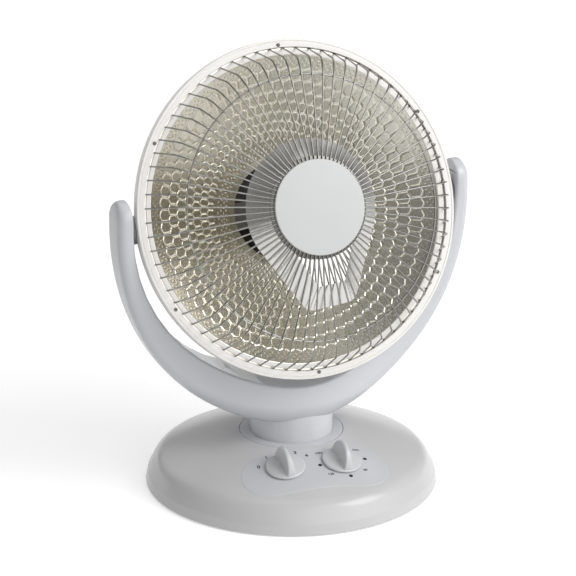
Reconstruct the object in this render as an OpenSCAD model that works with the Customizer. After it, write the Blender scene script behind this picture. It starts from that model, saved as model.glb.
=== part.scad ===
// Oscillating parabolic heater. Millimetres, +Z up, the dish faces -Y.
// The origin is on the floor, on the axis that the head swings about.

/* [Base] */
// Radius of the base at its lower edge
base_r = 150.2; // [146:0.1:156]
// Height of the lower edge above the floor
rim_z = 1.5; // [1:0.1:2.4]
// Height of the crease between skirt and bevel
skirt_z = 11.5; // [9:0.5:14]
// How far the skirt leans in up to that crease
skirt_lean = 2; // [0.5:0.1:3]
// Lean of the bevel from the vertical, in degrees
bevel_lean = 27; // [22:1:32]
// Length of the rounding on each side of the shoulder
shoulder_round = 8; // [5:0.5:10]
// Radius of the domed top
dome_r = 340; // [325:1:365]
// Height of the top of the dome, were it not cut away for the turntable
dome_top = 59.3; // [57:0.1:62]
// Wall of the base shell
base_wall = 2.6; // [2:0.1:3]
// Height of the recess's floor
recess_z = 52; // [51.6:0.1:52.2]
// Thickness of the bottom plate
plate_t = 2; // [1.6:0.1:2.4]
// Thickness of the rubber feet below the plate
foot_t = 3; // [2.6:0.1:3.4]
// Radius of a rubber foot
foot_r = 11; // [8:0.5:14]
// Distance from the base's edge in to the middle of a foot
foot_inset = 22.2; // [20:0.1:30]
// Distance from the base's edge in to the bottom screws
base_screw_inset = 28.2; // [24:0.1:32]
// Distance from the bottom screws in to the ballast plate
ballast_inset = 10; // [8:0.5:18]
// Thickness of the ballast plate
ballast_t = 6; // [4:0.5:8]

/* [Swivel] */
// Radius of the neck
neck_r = 42.4; // [40:0.1:43.5]
// Wall of the neck
neck_wall = 3; // [2.5:0.1:4]
// Width of the turntable round the neck
turntable_w = 10.6; // [8:0.1:11]
// Gap between the turntable and the edge of its recess
turntable_gap = 0.6; // [0.5:0.1:1.5]
// How far the neck goes up into the yoke
neck_sink = 13; // [12:0.5:15]
// Radius of the spigot that turns in the base
spigot_r = 15; // [13:0.5:16]
// Height of the spigot's lower end
spigot_z = 42.15; // [42:0.05:42.6]
// Bore that the wires pass through
wire_r = 9; // [6:0.5:10]
// Wall of the swivel bush
bush_wall = 3; // [2:0.5:4]
// Distance from the swivel axis to the motor shaft
crank_back = 52; // [48:0.5:54]
// Crank radius as a share of that distance
crank_share = 0.6; // [0.56:0.01:0.62]
// Radius of the crank pin
pin_r = 2; // [1.6:0.1:2.2]
// Radius of the swing motor
motor_r = 25; // [22:0.5:26]
// Height of the swing motor's can
motor_h = 14.5; // [12:0.5:15]

/* [Yoke] */
// Height of the yoke's underside over the neck
yoke_low = 73; // [72:0.5:76]
// Gap between the front ring and the yoke's inside
ring_gap = 4.2; // [3.7:0.1:7]
// Thickness of an arm at the tilt axis, inside to outside
arm_thick = 15.5; // [14:0.5:19]
// Thickness of the yoke over the neck
keel_thick = 44.5; // [42:0.5:48]
// Depth of the arms, front to back
arm_w = 38; // [34:0.5:42]
// How far the yoke reaches past the neck, front and back
keel_margin = 4.6; // [3:0.1:8]
// Rounding of the arms' outer edges
arm_round = 9; // [6:0.5:10]
// Rounding of the outer edges over the neck
bowl_round = 24; // [16:0.5:28]
// Rounding of the inner edges
lip_round = 3; // [1.5:0.5:4]
// Height of the arms' straight part above the tilt axis
arm_rise = 13; // [10:0.5:18]
// Wall of the arms
arm_wall = 3; // [2.4:0.1:3.6]
// Ledge that the yoke's inner cover lies on
cover_ledge = 1.5; // [1:0.1:2]
// Thickness of that cover
cover_t = 2.4; // [2:0.1:2.6]

/* [Head] */
// Tilt of the head at rest, upwards, in degrees
head_tilt = 19; // [14:0.5:24]
// Distance from the tilt axis forward to the rim's face
rim_ahead = 19; // [18:0.5:21]
// Outer radius of the front ring
ring_r = 170.3; // [160:0.1:180]
// Width of the front ring's face
ring_w = 8.5; // [8:0.1:8.7]
// Thickness of the front ring's face
ring_t = 2; // [1.6:0.1:2]
// Depth of the front ring's side wall
ring_depth = 9.5; // [8:0.5:10]
// Wall of the front ring's side
ring_wall = 2; // [1.6:0.1:2.2]
// Distance from the ring's inner edge out to its screws
ring_screw_out = 2.4; // [2.2:0.1:2.8]
// Space behind the reflector's hub, inside the rear housing
rear_space = 28.3; // [25:0.1:34]
// Wall of the rear housing
housing_wall = 2.2; // [1.8:0.1:2.6]
// Number of vent slots in the back
vent_count = 24; // [12:2:30]
// Width of a vent slot
vent_w = 4; // [3:0.5:5]
// Radius of the grey boss between arm and head
boss_r = 14; // [12:0.5:15]

/* [Reflector] */
// Distance from the front ring's outer edge in to the edge of the bright bowl
bowl_inset = 15.8; // [14.8:0.1:18]
// Depth of the reflector's flange behind the rim's face
flange_depth = 3.7; // [3.6:0.05:3.9]
// Focal length of the reflector
focal = 105.75; // [100:0.25:112]
// Radius where the bowl meets its flat hub
hub_flat_r = 56; // [50:0.5:60]
// Width of the hub's flat, out from its hole
hub_flat_w = 7; // [6:0.5:10]
// Thickness of the reflector's sheet
sheet_t = 0.8; // [0.6:0.1:1]

/* [Grille] */
// Number of radial wires
spoke_count = 72; // [60:4:72]
// Angle of the first wire, in degrees
spoke_phase = 3; // [0:0.5:5]
// Radius of the wire
spoke_r = 0.8; // [0.7:0.05:0.9]
// Distance from the ring's inner edge in to where the wires turn forward
spoke_foot_in = 0.9; // [0.8:0.05:1]
// Slope of the outer leg, in degrees
leg_slope = 73; // [70:1:76]
// Length of the outer leg
leg_len = 32; // [29:0.5:35]
// Radius of the bend at the shoulder
shoulder_bend = 12; // [9:0.5:14]
// Slope between the two bends, in degrees
mid_slope = 27; // [24:1:32]
// Radius of the long second bend
long_bend = 60; // [50:1:66]
// Slope of the wires' inner part, in degrees
cone_slope = 9; // [7:0.5:10]
// Distance from the axis of the wires' inner ends
spoke_in = 44; // [42.5:0.5:45]
// Distance from the wires' feet in to the ring wire
hoop_inset = 28.9; // [26:0.1:32]
// Radius of the centre disc
disc_r = 47.4; // [46.5:0.1:50]
// Thickness of the centre disc's edge
disc_t = 2.8; // [2.2:0.1:3.5]
// Radius of the clamp plate behind the disc
clamp_r = 51; // [50:0.5:54]

/* [Element and shield] */
// Radius of the ceramic core
core_r = 20; // [16:0.5:22]
// Distance from the core's front end to the shield's face
core_gap = 12.5; // [11:0.5:16]
// Thickness of the winding on the core
coil_t = 2.2; // [1.6:0.1:3]
// Depth of the shield, front to back
shield_depth = 13.5; // [11:0.5:16]
// Gap between the shield's face and the clamp plate
shield_gap = 5.4; // [4.5:0.1:8]
// Radius of the shield's back edge
shield_r = 69; // [64:0.5:72]
// Radius of the shield's front face
shield_face_r = 45; // [40:0.5:46]
// Reach of the shield's lobe at the back edge
lobe_reach = 99.5; // [92:0.5:104]
// Half the width of the lobe at the back edge
lobe_half = 31; // [24:0.5:34]
// Reach of the lobe at the front face
lobe_face_reach = 77; // [70:0.5:80]
// Half the width of the lobe at the front face
lobe_face_half = 15; // [11:0.5:18]
// Turn of the shield about the dish's axis, in degrees
shield_turn = 5; // [0:1:10]
// Wall of the shield
shield_t = 0.8; // [0.6:0.1:1]

/* [Controls] */
// Turn of the control panel from straight ahead, in degrees
control_turn = -7; // [-8:0.5:8]
// Half the distance between the knobs
knob_half = 29.2; // [28:0.1:32]
// Distance of the knobs in front of the swivel axis
knob_front = 82.5; // [80:0.1:85]
// Radius of a knob's skirt
knob_r = 20.2; // [18:0.1:21]
// Height of a knob's grip above the panel
grip_h = 22.6; // [20:0.1:26]
// Thickness of the grip at its foot
grip_t = 8; // [7.4:0.1:9]
// Turn of the grips at rest, in degrees
knob_turn = 5; // [-30:1:30]
// How far the spindles reach above the dome, inside the grips
spindle_reach = 9; // [7:0.5:10]
// Radius of the knobs' spindles
spindle_r = 3; // [2.5:0.1:3.2]
// Distance of the oval control panel's middle in front of the swivel axis
panel_front = 87.5; // [84:0.5:88.5]
// Half the height of the panel
panel_half = 31; // [28:0.5:31.5]
// Half the length of the oval control panel
panel_reach = 76; // [72:0.5:77]
// Thickness of the control panel
panel_t = 1.5; // [1.2:0.1:1.6]
// How far the panel stands proud of the dome
panel_proud = 0.3; // [0.2:0.1:0.6]
// Travel of the tip-over plunger
plunger_travel = 4; // [3:0.5:5]

/* [Fits] */
// Radial clearance of a part that turns in a bore
run_gap = 0.06; // [0.02:0.01:0.08]
// Gap between faces of parts that move past each other
face_gap = 0.3; // [0.3:0.05:0.4]
// Radial clearance of a screw or stem in its hole
screw_gap = 0.05; // [0.03:0.01:0.1]
// Gap round a part that lies in a pocket
pocket_gap = 0.2; // [0.15:0.05:0.25]

/* [Hidden] */
$fn = 64;
white = "#e9e9ea";
grey = "#8f9194";
black = "#2a2a2c";
steel = "#b9bcc0";
chrome = "#d9dadc";
tan_alu = "#cfc8b4";
ceramic = "#e8e2d2";
eps = 0.01;

// ---- sizes that follow from others ----
ring_in = ring_r - ring_w;
ring_screw_at = ring_in + ring_screw_out;
bowl_r = ring_r - bowl_inset;
yoke_in = ring_r + ring_gap;
arm_out = yoke_in + arm_thick;
yoke_out = yoke_in + keel_thick;
pivot_z = yoke_low + yoke_out;
bowl_w = 2 * (neck_r + keel_margin);
neck_top = yoke_low + neck_sink;
turntable_r = neck_r + turntable_w;
recess_r = turntable_r + turntable_gap;
spoke_foot = ring_in - spoke_foot_in;
hoop_r = spoke_foot - hoop_inset;
foot_at = base_r - foot_inset;
base_screw_at = base_r - base_screw_inset;
ballast_r = base_screw_at - ballast_inset;
hub_hole_r = hub_flat_r - hub_flat_w;

// Points of an arc about [cx, cy], ends included.
function arc(cx, cy, r, from, to, steps) =
    [for (i = [0:steps]) let (a = from + (to - from) * i / steps) [cx + r * cos(a), cy + r * sin(a)]];
// Points of the quadratic curve from a to c that is drawn towards b.
function bend(a, b, c, steps) =
    [for (i = [0:steps]) let (t = i / steps) (1 - t) * (1 - t) * a + 2 * t * (1 - t) * b + t * t * c];

// ---- base ----
plate_z = foot_t;
plate_top = plate_z + plate_t;
boss_in = 4.5;
pilot_r = 1.5;
function dome_z(r) = dome_top - dome_r + sqrt(dome_r * dome_r - r * r);
skirt_r = base_r - skirt_lean;
// The corner where bevel and dome would meet, found by one step from a first guess.
corner_guess = dome_z(skirt_r - 10);
corner_r = skirt_r - (corner_guess - skirt_z) * tan(bevel_lean);
corner = [corner_r, skirt_z + (skirt_r - corner_r) / tan(bevel_lean)];
bevel_end = corner + shoulder_round * [sin(bevel_lean), -cos(bevel_lean)];
dome_start_r = corner_r - shoulder_round;
dome_start = [dome_start_r, dome_z(dome_start_r)];
dome_steps = 9;
function base_outline(t) = concat(
    [[0, rim_z - 1], [base_r - t, rim_z - 1], [base_r - t, rim_z], [skirt_r - t, skirt_z - t / 4]],
    [for (p = bend(bevel_end, corner, dome_start, 5)) p - [t * 0.8, t * 0.8]],
    [for (i = [1:dome_steps]) let (r = dome_start_r * (1 - i / dome_steps)) [r, dome_z(r) - t]]);
// A layer of the dome, from depth a down to depth b.
module dome_layer(a, b) {
    rotate_extrude($fn = 120) polygon(concat(
        [for (i = [0:dome_steps]) let (r = dome_start_r * (1 - i / dome_steps)) [r, dome_z(r) - a]],
        [for (i = [dome_steps:-1:0]) let (r = dome_start_r * (1 - i / dome_steps)) [r, dome_z(r) - b]]));
}
module base_solid(t) {
    rotate_extrude($fn = 120) intersection() {
        polygon(base_outline(t));
        translate([0, rim_z]) square([base_r + 1, dome_top + 10]);
    }
}
module ring_of(count, radius, from) {
    for (i = [0:count - 1]) rotate([0, 0, from + i * 360 / count]) translate([radius, 0, 0]) children();
}
recess_wall_z = recess_z - base_wall;
recess_rim = 1.5;
hub_boss_z = spigot_z + 1.85;
bush_r = spigot_r + run_gap + bush_wall;
gland_r = 5.2;
gland_z = 12.5;
gland_depth = 12;

module base_housing() {
    color(white) difference() {
        union() {
            difference() {
                base_solid(0);
                translate([0, 0, -eps]) base_solid(base_wall);
                base_cavity_foot();
            }
            intersection() {
                base_solid(eps);
                union() {
                    translate([0, 0, recess_wall_z]) cylinder(r = recess_r + base_wall, h = base_wall + 6);
                    translate([0, 0, hub_boss_z]) cylinder(r = bush_r + 4, h = 8);
                    ring_of(6, base_screw_at, 30) translate([0, 0, plate_top]) cylinder(r = boss_in, h = 50);
                }
            }
        }
        translate([0, 0, recess_z]) cylinder(r = recess_r, h = 20);
        translate([0, 0, hub_boss_z - 1]) cylinder(r = bush_r + screw_gap, h = 20);
        ring_of(6, base_screw_at, 30) translate([0, 0, plate_top - 1]) cylinder(r = pilot_r, h = 13);
        difference() {
            intersection() {
                panel_prism(pocket_gap);
                dome_layer(-3, panel_t - panel_proud + 0.05);
            }
            cylinder(r = recess_r + recess_rim - pocket_gap, h = dome_top);
        }
        for (side = [-1, 1]) at_knob(side) translate([0, 0, -8]) cylinder(r = switch_neck_r + 0.4, h = 10);
        translate([0, base_r + 2, gland_z]) rotate([90, 0, 0])
            cylinder(r = gland_r + pocket_gap, h = gland_depth);
    }
}
// The open underside, below the inner outline.
module base_cavity_foot() {
    translate([0, 0, rim_z - 1]) cylinder(r = base_r - base_wall, h = 1.02);
}

// The stadium that the control panel is cut to, seen from above.
module panel_prism(grow) {
    rotate([0, 0, control_turn]) translate([0, -panel_front, 20]) linear_extrude(50) union() {
        square([2 * (panel_reach - panel_half), 2 * (panel_half + grow)], center = true);
        for (side = [-1, 1]) translate([side * (panel_reach - panel_half), 0]) circle(r = panel_half + grow);
    }
}
module control_panel() {
    color(white) difference() {
        intersection() {
            panel_prism(0);
            dome_layer(-panel_proud, panel_t - panel_proud);
        }
        for (side = [-1, 1]) at_knob(side) translate([0, 0, -8]) cylinder(r = switch_neck_r + 0.4, h = 12);
        translate([0, 0, recess_z - 5]) cylinder(r = recess_r + recess_rim, h = 20);
    }
}

motor_post_x = motor_r + 6;
motor_z = 14;
tip_at = [62, 30];
stem_r = 4;
module bottom_plate() {
    color(black) difference() {
        union() {
            translate([0, 0, plate_z]) cylinder(r = base_r - base_wall - 1, h = plate_t, $fn = 120);
            for (side = [-1, 1]) translate([side * motor_post_x, crank_back, plate_z])
                cylinder(r = 4, h = motor_z - plate_z);
        }
        ring_of(4, foot_at, 45) translate([0, 0, plate_z - 1]) cylinder(r = stem_r + screw_gap, h = 9);
        ring_of(6, base_screw_at, 30) translate([0, 0, plate_z - 1]) cylinder(r = pilot_r + 0.3, h = 9);
        for (side = [-1, 1]) translate([side * motor_post_x, crank_back, plate_z + 1])
            cylinder(r = pilot_r, h = 30);
        for (a = ballast_screw_angles) rotate([0, 0, a]) translate([ballast_screw_at, 0, plate_z - 1])
            cylinder(r = pilot_r + screw_gap, h = 9);
        translate([tip_at[0], tip_at[1], plate_z - 1]) cylinder(r = plunger_r + 0.5, h = 9);
    }
}
module rubber_feet() {
    color(black) ring_of(4, foot_at, 45) union() {
        cylinder(r = foot_r, h = foot_t);
        cylinder(r = stem_r, h = foot_t + plate_t + 1);
    }
}
module base_screws() {
    color(steel) ring_of(6, base_screw_at, 30) union() {
        translate([0, 0, plate_z - 1.6]) cylinder(r = 3.4, h = 1.6);
        translate([0, 0, plate_z - 1]) cylinder(r = pilot_r - screw_gap, h = 12);
    }
}
ballast_w = 26;
ballast_in = ballast_r - ballast_w;
ballast_screw_at = (ballast_r + ballast_in) / 2;
ballast_screw_angles = [50, 90, 130];
module ballast_plate() {
    color("#5b5d60") difference() {
        translate([0, 0, plate_top]) rotate([0, 0, 40]) rotate_extrude(angle = 100, $fn = 120)
            translate([ballast_in, 0]) square([ballast_r - ballast_in, ballast_t]);
        for (a = ballast_screw_angles) rotate([0, 0, a]) translate([ballast_screw_at, 0, 0])
            cylinder(r = pilot_r + 0.3, h = 40);
    }
}
module ballast_screws() {
    color(steel) for (a = ballast_screw_angles) rotate([0, 0, a])
        translate([ballast_screw_at, 0, plate_z + 0.2]) union() {
        cylinder(r = pilot_r, h = plate_t + ballast_t);
        translate([0, 0, plate_t + ballast_t - 0.2]) cylinder(r = 3.6, h = 2);
    }
}
module cord_gland() {
    color(black) difference() {
        intersection() {
            base_solid(0);
            translate([0, base_r + 2, gland_z]) rotate([90, 0, 0])
                cylinder(r = gland_r, h = gland_depth - 0.5);
        }
        translate([0, base_r + 2, gland_z]) rotate([90, 0, 0]) cylinder(r = gland_r - 1.8, h = 9);
    }
}
module terminal_block() {
    color(white) translate([-62, -14, plate_top]) difference() {
        cube([18, 34, 12]);
        for (i = [0:2]) translate([9, 6 + 11 * i, 4]) cylinder(r = 2, h = 9);
    }
}

// ---- swing drive ----
crank_r = crank_share * crank_back;
motor_can_z = motor_z + 1.5;
motor_top = motor_can_z + motor_h;
crank_z = motor_top + 1;
crank_t = 3.5;
arm_t = 2.9;
swing_arm_z = spigot_z - arm_t;
shaft_r = 2.5;
module swing_motor() {
    color(steel) difference() {
        union() {
            translate([0, crank_back, motor_can_z]) cylinder(r = motor_r, h = motor_h);
            translate([-motor_post_x - 5, crank_back - 7, motor_z]) cube([2 * motor_post_x + 10, 14, 1.5]);
        }
        translate([0, crank_back, motor_top - 8]) cylinder(r = shaft_r + run_gap, h = 9);
        for (side = [-1, 1]) translate([side * motor_post_x, crank_back, motor_z - 1])
            cylinder(r = pilot_r + 0.2, h = 4);
    }
}
module motor_screws() {
    color(steel) for (side = [-1, 1]) translate([side * motor_post_x, crank_back, plate_z + 2]) union() {
        cylinder(r = pilot_r - screw_gap, h = motor_can_z - plate_z - 2 + eps);
        translate([0, 0, motor_can_z - plate_z - 2]) cylinder(r = 3, h = 2);
    }
}
module crank() {
    color(white) translate([0, crank_back, crank_z]) union() {
        cylinder(r = 7, h = crank_t);
        translate([-5, 0, 0]) cube([10, crank_r, crank_t]);
        translate([0, crank_r, 0]) cylinder(r = 5, h = crank_t);
        translate([0, crank_r, 0]) cylinder(r = pin_r, h = spigot_z + 1 - crank_z);
        translate([0, 0, motor_top - 7.5 - crank_z]) cylinder(r = shaft_r, h = 9);
    }
}
slot_half = pin_r + 1.1;
slot_from = crank_back - crank_r - 3;
slot_to = crank_back + crank_r + 3;
spigot_screw_at = (spigot_r + wire_r) / 2;
module swing_arm() {
    color(steel) difference() {
        translate([0, 0, swing_arm_z]) union() {
            cylinder(r = bush_r + 3, h = arm_t);
            translate([-slot_half - 4.5, 0, 0]) cube([2 * slot_half + 9, slot_to, arm_t]);
            translate([0, slot_to, 0]) cylinder(r = slot_half + 4.5, h = arm_t);
        }
        translate([0, 0, swing_arm_z - 1]) cylinder(r = wire_r, h = 9);
        translate([-slot_half, slot_from + slot_half, swing_arm_z - 1])
            cube([2 * slot_half, slot_to - slot_from - slot_half, 9]);
        for (y = [slot_from + slot_half, slot_to]) translate([0, y, swing_arm_z - 1])
            cylinder(r = slot_half, h = 9);
        ring_of(3, spigot_screw_at, 30) translate([0, 0, swing_arm_z - 1])
            cylinder(r = 1.3 + screw_gap, h = 9);
    }
}
module swing_arm_screws() {
    color(steel) ring_of(3, spigot_screw_at, 30) translate([0, 0, swing_arm_z - 1.4]) union() {
        cylinder(r = 2.3, h = 1.4);
        cylinder(r = 1.3, h = 11);
    }
}
module thrust_washer() {
    color(steel) translate([0, 0, spigot_z]) difference() {
        cylinder(r = bush_r + 2, h = hub_boss_z - 1 - spigot_z - run_gap);
        translate([0, 0, -1]) cylinder(r = spigot_r + 0.3, h = 4);
    }
}
module swivel_bush() {
    color("#f4f1e6") difference() {
        union() {
            translate([0, 0, hub_boss_z - 1]) cylinder(r = bush_r, h = recess_z + 0.7 - hub_boss_z + 1);
            translate([0, 0, recess_z]) cylinder(r = bush_r + 12, h = 0.7);
        }
        translate([0, 0, hub_boss_z - 2]) cylinder(r = spigot_r + run_gap, h = 20);
    }
}

// ---- neck ----
turntable_z = recess_z + 0.7 + run_gap;
turntable_top = dome_z(recess_r) + 0.2;
neck_floor = turntable_top + 0.3;
foot_groove = 0.6;
neck_screw_at = 28;
neck_screw_r = 2;
module neck() {
    color(white) difference() {
        union() {
            rotate_extrude($fn = 96) polygon([[0, turntable_z], [turntable_r, turntable_z],
                [turntable_r, turntable_top - 0.4], [turntable_r - 0.4, turntable_top],
                [neck_r + foot_groove + 0.2, neck_floor], [neck_r + foot_groove, neck_floor - foot_groove],
                [neck_r, neck_floor - foot_groove], [neck_r, neck_top], [0, neck_top]]);
            translate([0, 0, spigot_z]) cylinder(r = spigot_r, h = turntable_z - spigot_z + 1);
        }
        translate([0, 0, neck_floor]) cylinder(r = neck_r - neck_wall, h = neck_top - 3 - neck_floor);
        translate([0, 0, spigot_z - 1]) cylinder(r = wire_r, h = neck_top);
        ring_of(3, spigot_screw_at, 30) translate([0, 0, spigot_z - 1]) cylinder(r = 1.3 + screw_gap, h = 12);
        ring_of(4, neck_screw_at, 45) translate([0, 0, neck_top - 9])
            cylinder(r = neck_screw_r + screw_gap, h = 10);
    }
}
module neck_screws() {
    color(steel) ring_of(4, neck_screw_at, 45) translate([0, 0, neck_top - 3]) union() {
        translate([0, 0, -2.4]) cylinder(r = 4, h = 2.4);
        translate([0, 0, -1]) cylinder(r = neck_screw_r, h = 15);
    }
}

// ---- yoke ----
// Depth, outer radius and rounding of the yoke at t degrees from straight down.
function yoke_w(t) = arm_w + (bowl_w - arm_w) * pow(cos(t), 10);
function yoke_r(t) = arm_out + (yoke_out - arm_out) * pow(cos(t), 2);
function yoke_round(t) = arm_round + (bowl_round - arm_round) * pow(cos(t), 4);
tip_r = arm_w / 2;
tip_angles = [20, 40, 58, 74, 84];
// Stations along the yoke from its foot to a tip: [degrees, rise above the tilt axis, share of
// the full depth].
function half_stations(from, step) = concat(
    [for (t = [from:step:90]) [t, 0, 1]],
    [[90, arm_rise, 1]],
    [for (a = tip_angles) [90, arm_rise + tip_r * sin(a), cos(a)]]);
// One section, a box from radius a to b and w deep, with its corners rounded.
function section(a, b, w, outer, inner) = concat(
    arc(b - outer, w / 2 - outer, outer, 0, 90, 4), arc(a + inner, w / 2 - inner, inner, 90, 180, 2),
    arc(a + inner, inner - w / 2, inner, 180, 270, 2), arc(b - outer, outer - w / 2, outer, 270, 360, 4));
function yoke_section(s) = let (w = max(yoke_w(s[0]) * s[2], 3), inner = min(lip_round, w / 2 - 0.4),
    drop = 1 - s[2])
    section(yoke_in + 2.5 * drop, yoke_r(s[0]) - 6 * drop, w,
        min(yoke_round(s[0]) * (1 - 0.5 * drop), w / 2 - 0.3), inner);
// A section's points, set at their station on the side given by sign.
function placed(s, pts, sign) = [for (p = pts)
    [sign * p[0] * sin(s[0]), p[1], pivot_z + s[1] - p[0] * cos(s[0])]];
// A closed skin over rings of equally many points.
module skin(rings) {
    n = len(rings[0]);
    m = len(rings);
    polyhedron(
        points = [for (ring = rings) for (p = ring) p],
        faces = concat(
            [[for (j = [0:n - 1]) j]],
            [for (i = [0:m - 2]) for (j = [0:n - 1])
                let (k = (j + 1) % n) [i * n + j, (i + 1) * n + j, (i + 1) * n + k]],
            [for (i = [0:m - 2]) for (j = [0:n - 1])
                let (k = (j + 1) % n) [i * n + j, (i + 1) * n + k, i * n + k]],
            [[for (j = [n - 1:-1:0]) (m - 1) * n + j]]));
}
function reversed(list) = [for (i = [len(list) - 1:-1:0]) list[i]];
// Stations from the left tip to the right one, as the right ones and the side they lie on.
function both_sides(right) = concat([for (s = reversed(right)) [s, -1]], [[[0, 0, 1], 1]],
    [for (s = right) [s, 1]]);
cover_end = arm_rise + tip_r * 0.4;
inner_stations = both_sides(concat([for (t = [7.5:7.5:82.5]) [t, 0, 1]], [[90, 0, 1], [90, cover_end, 1]]));
function box_section(s, a, b, inset) = let (w = yoke_w(s[0]) - 2 * inset)
    [[b, w / 2], [a, w / 2], [a, -w / 2], [b, -w / 2]];
cavity_in = arm_wall + cover_ledge;
// The yoke's hollow at a station, with the outer edges rounded as the skin outside.
function cavity_section(s) = let (w = yoke_w(s[0]) - 2 * cavity_in, b = yoke_r(s[0]) - arm_wall,
    r = max(yoke_round(s[0]) - arm_wall, 2))
    concat(arc(b - r, w / 2 - r, r, 0, 90, 4), [[yoke_in - 2, w / 2], [yoke_in - 2, -w / 2]],
        arc(b - r, r - w / 2, r, 270, 360, 4));
hub_block = neck_top + 14;
block_r = neck_r + 4;
// Spots of the cover's screws: [degrees from straight down, share of the cover's half depth].
cover_screw_t = [24, 46, 70];
module at_yoke(side, t) {
    translate([0, 0, pivot_z]) rotate([0, side * (180 - t), 0]) children();
}
module yoke_shell() {
    color(white) difference() {
        skin([for (s = both_sides(half_stations(6, 6))) placed(s[0], yoke_section(s[0]), s[1])]);
        skin([for (s = inner_stations) placed(s[0],
            box_section(s[0], yoke_in - 2, yoke_in + cover_t, arm_wall), s[1])]);
        difference() {
            skin([for (s = inner_stations) placed(s[0] - [0, s[0][1] > 0 ? cover_ledge : 0, 0],
                cavity_section(s[0]), s[1])]);
            cylinder(r = block_r, h = hub_block);
            for (side = [-1, 1]) for (t = cover_screw_t) at_yoke(side, t)
                translate([0, 0, yoke_in + cover_t]) cylinder(r = 3.5, h = 60);
        }
        translate([0, 0, neck_top - 25]) cylinder(r = neck_r + pocket_gap, h = 25);
        translate([0, 0, neck_top - 5]) cylinder(r = wire_r, h = 30);
        ring_of(4, neck_screw_at, 45) translate([0, 0, neck_top - 5])
            cylinder(r = neck_screw_r + screw_gap, h = 17);
        for (side = [-1, 1]) for (t = cover_screw_t) at_yoke(side, t)
            translate([0, 0, yoke_in + cover_t - 1]) cylinder(r = 1.2, h = 9);
    }
}
// Where the tilt axis passes through an arm: local z points away from the head.
module at_arm(side) {
    translate([0, 0, pivot_z]) rotate([0, side * 90, 0]) children();
}
pivot_r = 6;
cover_boss_end = yoke_in + 5.5;
module yoke_cover() {
    color(white) difference() {
        union() {
            skin([for (s = inner_stations) placed(s[0] - [0, s[0][1] > 0 ? pocket_gap : 0, 0],
                box_section(s[0], yoke_in + 0.02, yoke_in + cover_t - 0.05, arm_wall + pocket_gap), s[1])]);
            for (side = [-1, 1]) at_arm(side) translate([0, 0, yoke_in + 1])
                cylinder(r = 12, h = cover_boss_end - yoke_in - 1);
        }
        for (side = [-1, 1]) at_arm(side) translate([0, 0, yoke_in - 5]) {
            cylinder(r = pivot_r + run_gap, h = 20);
            cylinder(r = boss_r + 0.4, h = 5.1);
        }
        for (side = [-1, 1]) for (t = cover_screw_t) at_yoke(side, t) {
            translate([0, 0, yoke_in - 5]) cylinder(r = 1.2 + 0.3, h = 20);
            translate([0, 0, yoke_in - 5]) cylinder(r = 2.6, h = 6);
        }
    }
}
module yoke_cover_screws() {
    color(steel) for (side = [-1, 1]) for (t = cover_screw_t) at_yoke(side, t) union() {
        translate([0, 0, yoke_in - 0.2]) cylinder(r = 2.4, h = 1.2);
        translate([0, 0, yoke_in]) cylinder(r = 1.2 - screw_gap, h = cover_t + 7);
    }
}

// ---- head ----
// The dish's frame: local z runs out of the dish, and 0 is the rim's face.
module on_dish() {
    translate([0, 0, pivot_z]) rotate([90 - head_tilt, 0, 0]) translate([0, 0, rim_ahead]) children();
}
// The tilt axis in the dish's frame: local z points away from the head.
module at_side(side) {
    translate([0, 0, -rim_ahead]) rotate([0, side * 90, 0]) children();
}
housing_r = ring_r - ring_wall - pocket_gap;
ledge_z = -flange_depth - sheet_t;
ledge_t = 2;
ledge_in = housing_r - 10.1;
pad_r = 12;
pad_end = housing_r - 1.5;
// Shares of the housing's radius where its curve turns in, is steepest and ends in the flat back.
turn_share = 0.785;
back_share = 0.625;
flat_share = 0.357;
// The housing's outline, t inside its outer face.
function housing_curve(t) = concat(
    bend([housing_r - t, -10], [housing_r - 4 - t, -housing_depth * 0.47 + t * 0.4],
        [housing_r * turn_share - t * 0.6, -housing_depth * 0.74 + t * 0.8], 6),
    bend([housing_r * turn_share - t * 0.6, -housing_depth * 0.74 + t * 0.8],
        [housing_r * back_share, -housing_depth * 0.97 + t], [housing_r * flat_share, -housing_depth + t], 5),
    [[0, -housing_depth + t]]);
module rear_housing() {
    color(white) on_dish() difference() {
        union() {
            difference() {
                rotate_extrude($fn = 120) polygon(concat([[0, ledge_z], [housing_r, ledge_z]],
                    housing_curve(0)));
                rotate_extrude($fn = 120) polygon(concat([[0, ledge_z - ledge_t],
                    [housing_r - housing_wall, ledge_z - ledge_t]], housing_curve(housing_wall)));
                translate([0, 0, ledge_z - ledge_t - 1]) cylinder(r = ledge_in, h = ledge_t + 2, $fn = 120);
            }
            ring_of(6, ring_screw_at, 30) translate([0, 0, ledge_z - 9])
                cylinder(r = 2.8, h = 9 - ledge_z - ring_t - 0.05);
            for (side = [-1, 1]) at_side(side) translate([0, 0, housing_r - 11])
                cylinder(r = pad_r, h = pad_end - housing_r + 11);
        }
        ring_of(6, ring_screw_at, 30) translate([0, 0, ledge_z - 8]) cylinder(r = 1.2, h = 20);
        for (side = [-1, 1]) at_side(side) translate([0, 0, housing_r - 12])
            cylinder(r = tilt_screw_r + screw_gap, h = 14);
        ring_of(vent_count, housing_r * 0.37, 7.5) translate([0, -vent_w / 2, -housing_depth - 5])
            cube([housing_r * 0.155, vent_w, 20]);
    }
}
ring_groove = 0.5;
screw_head_r = 1.9;
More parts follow.
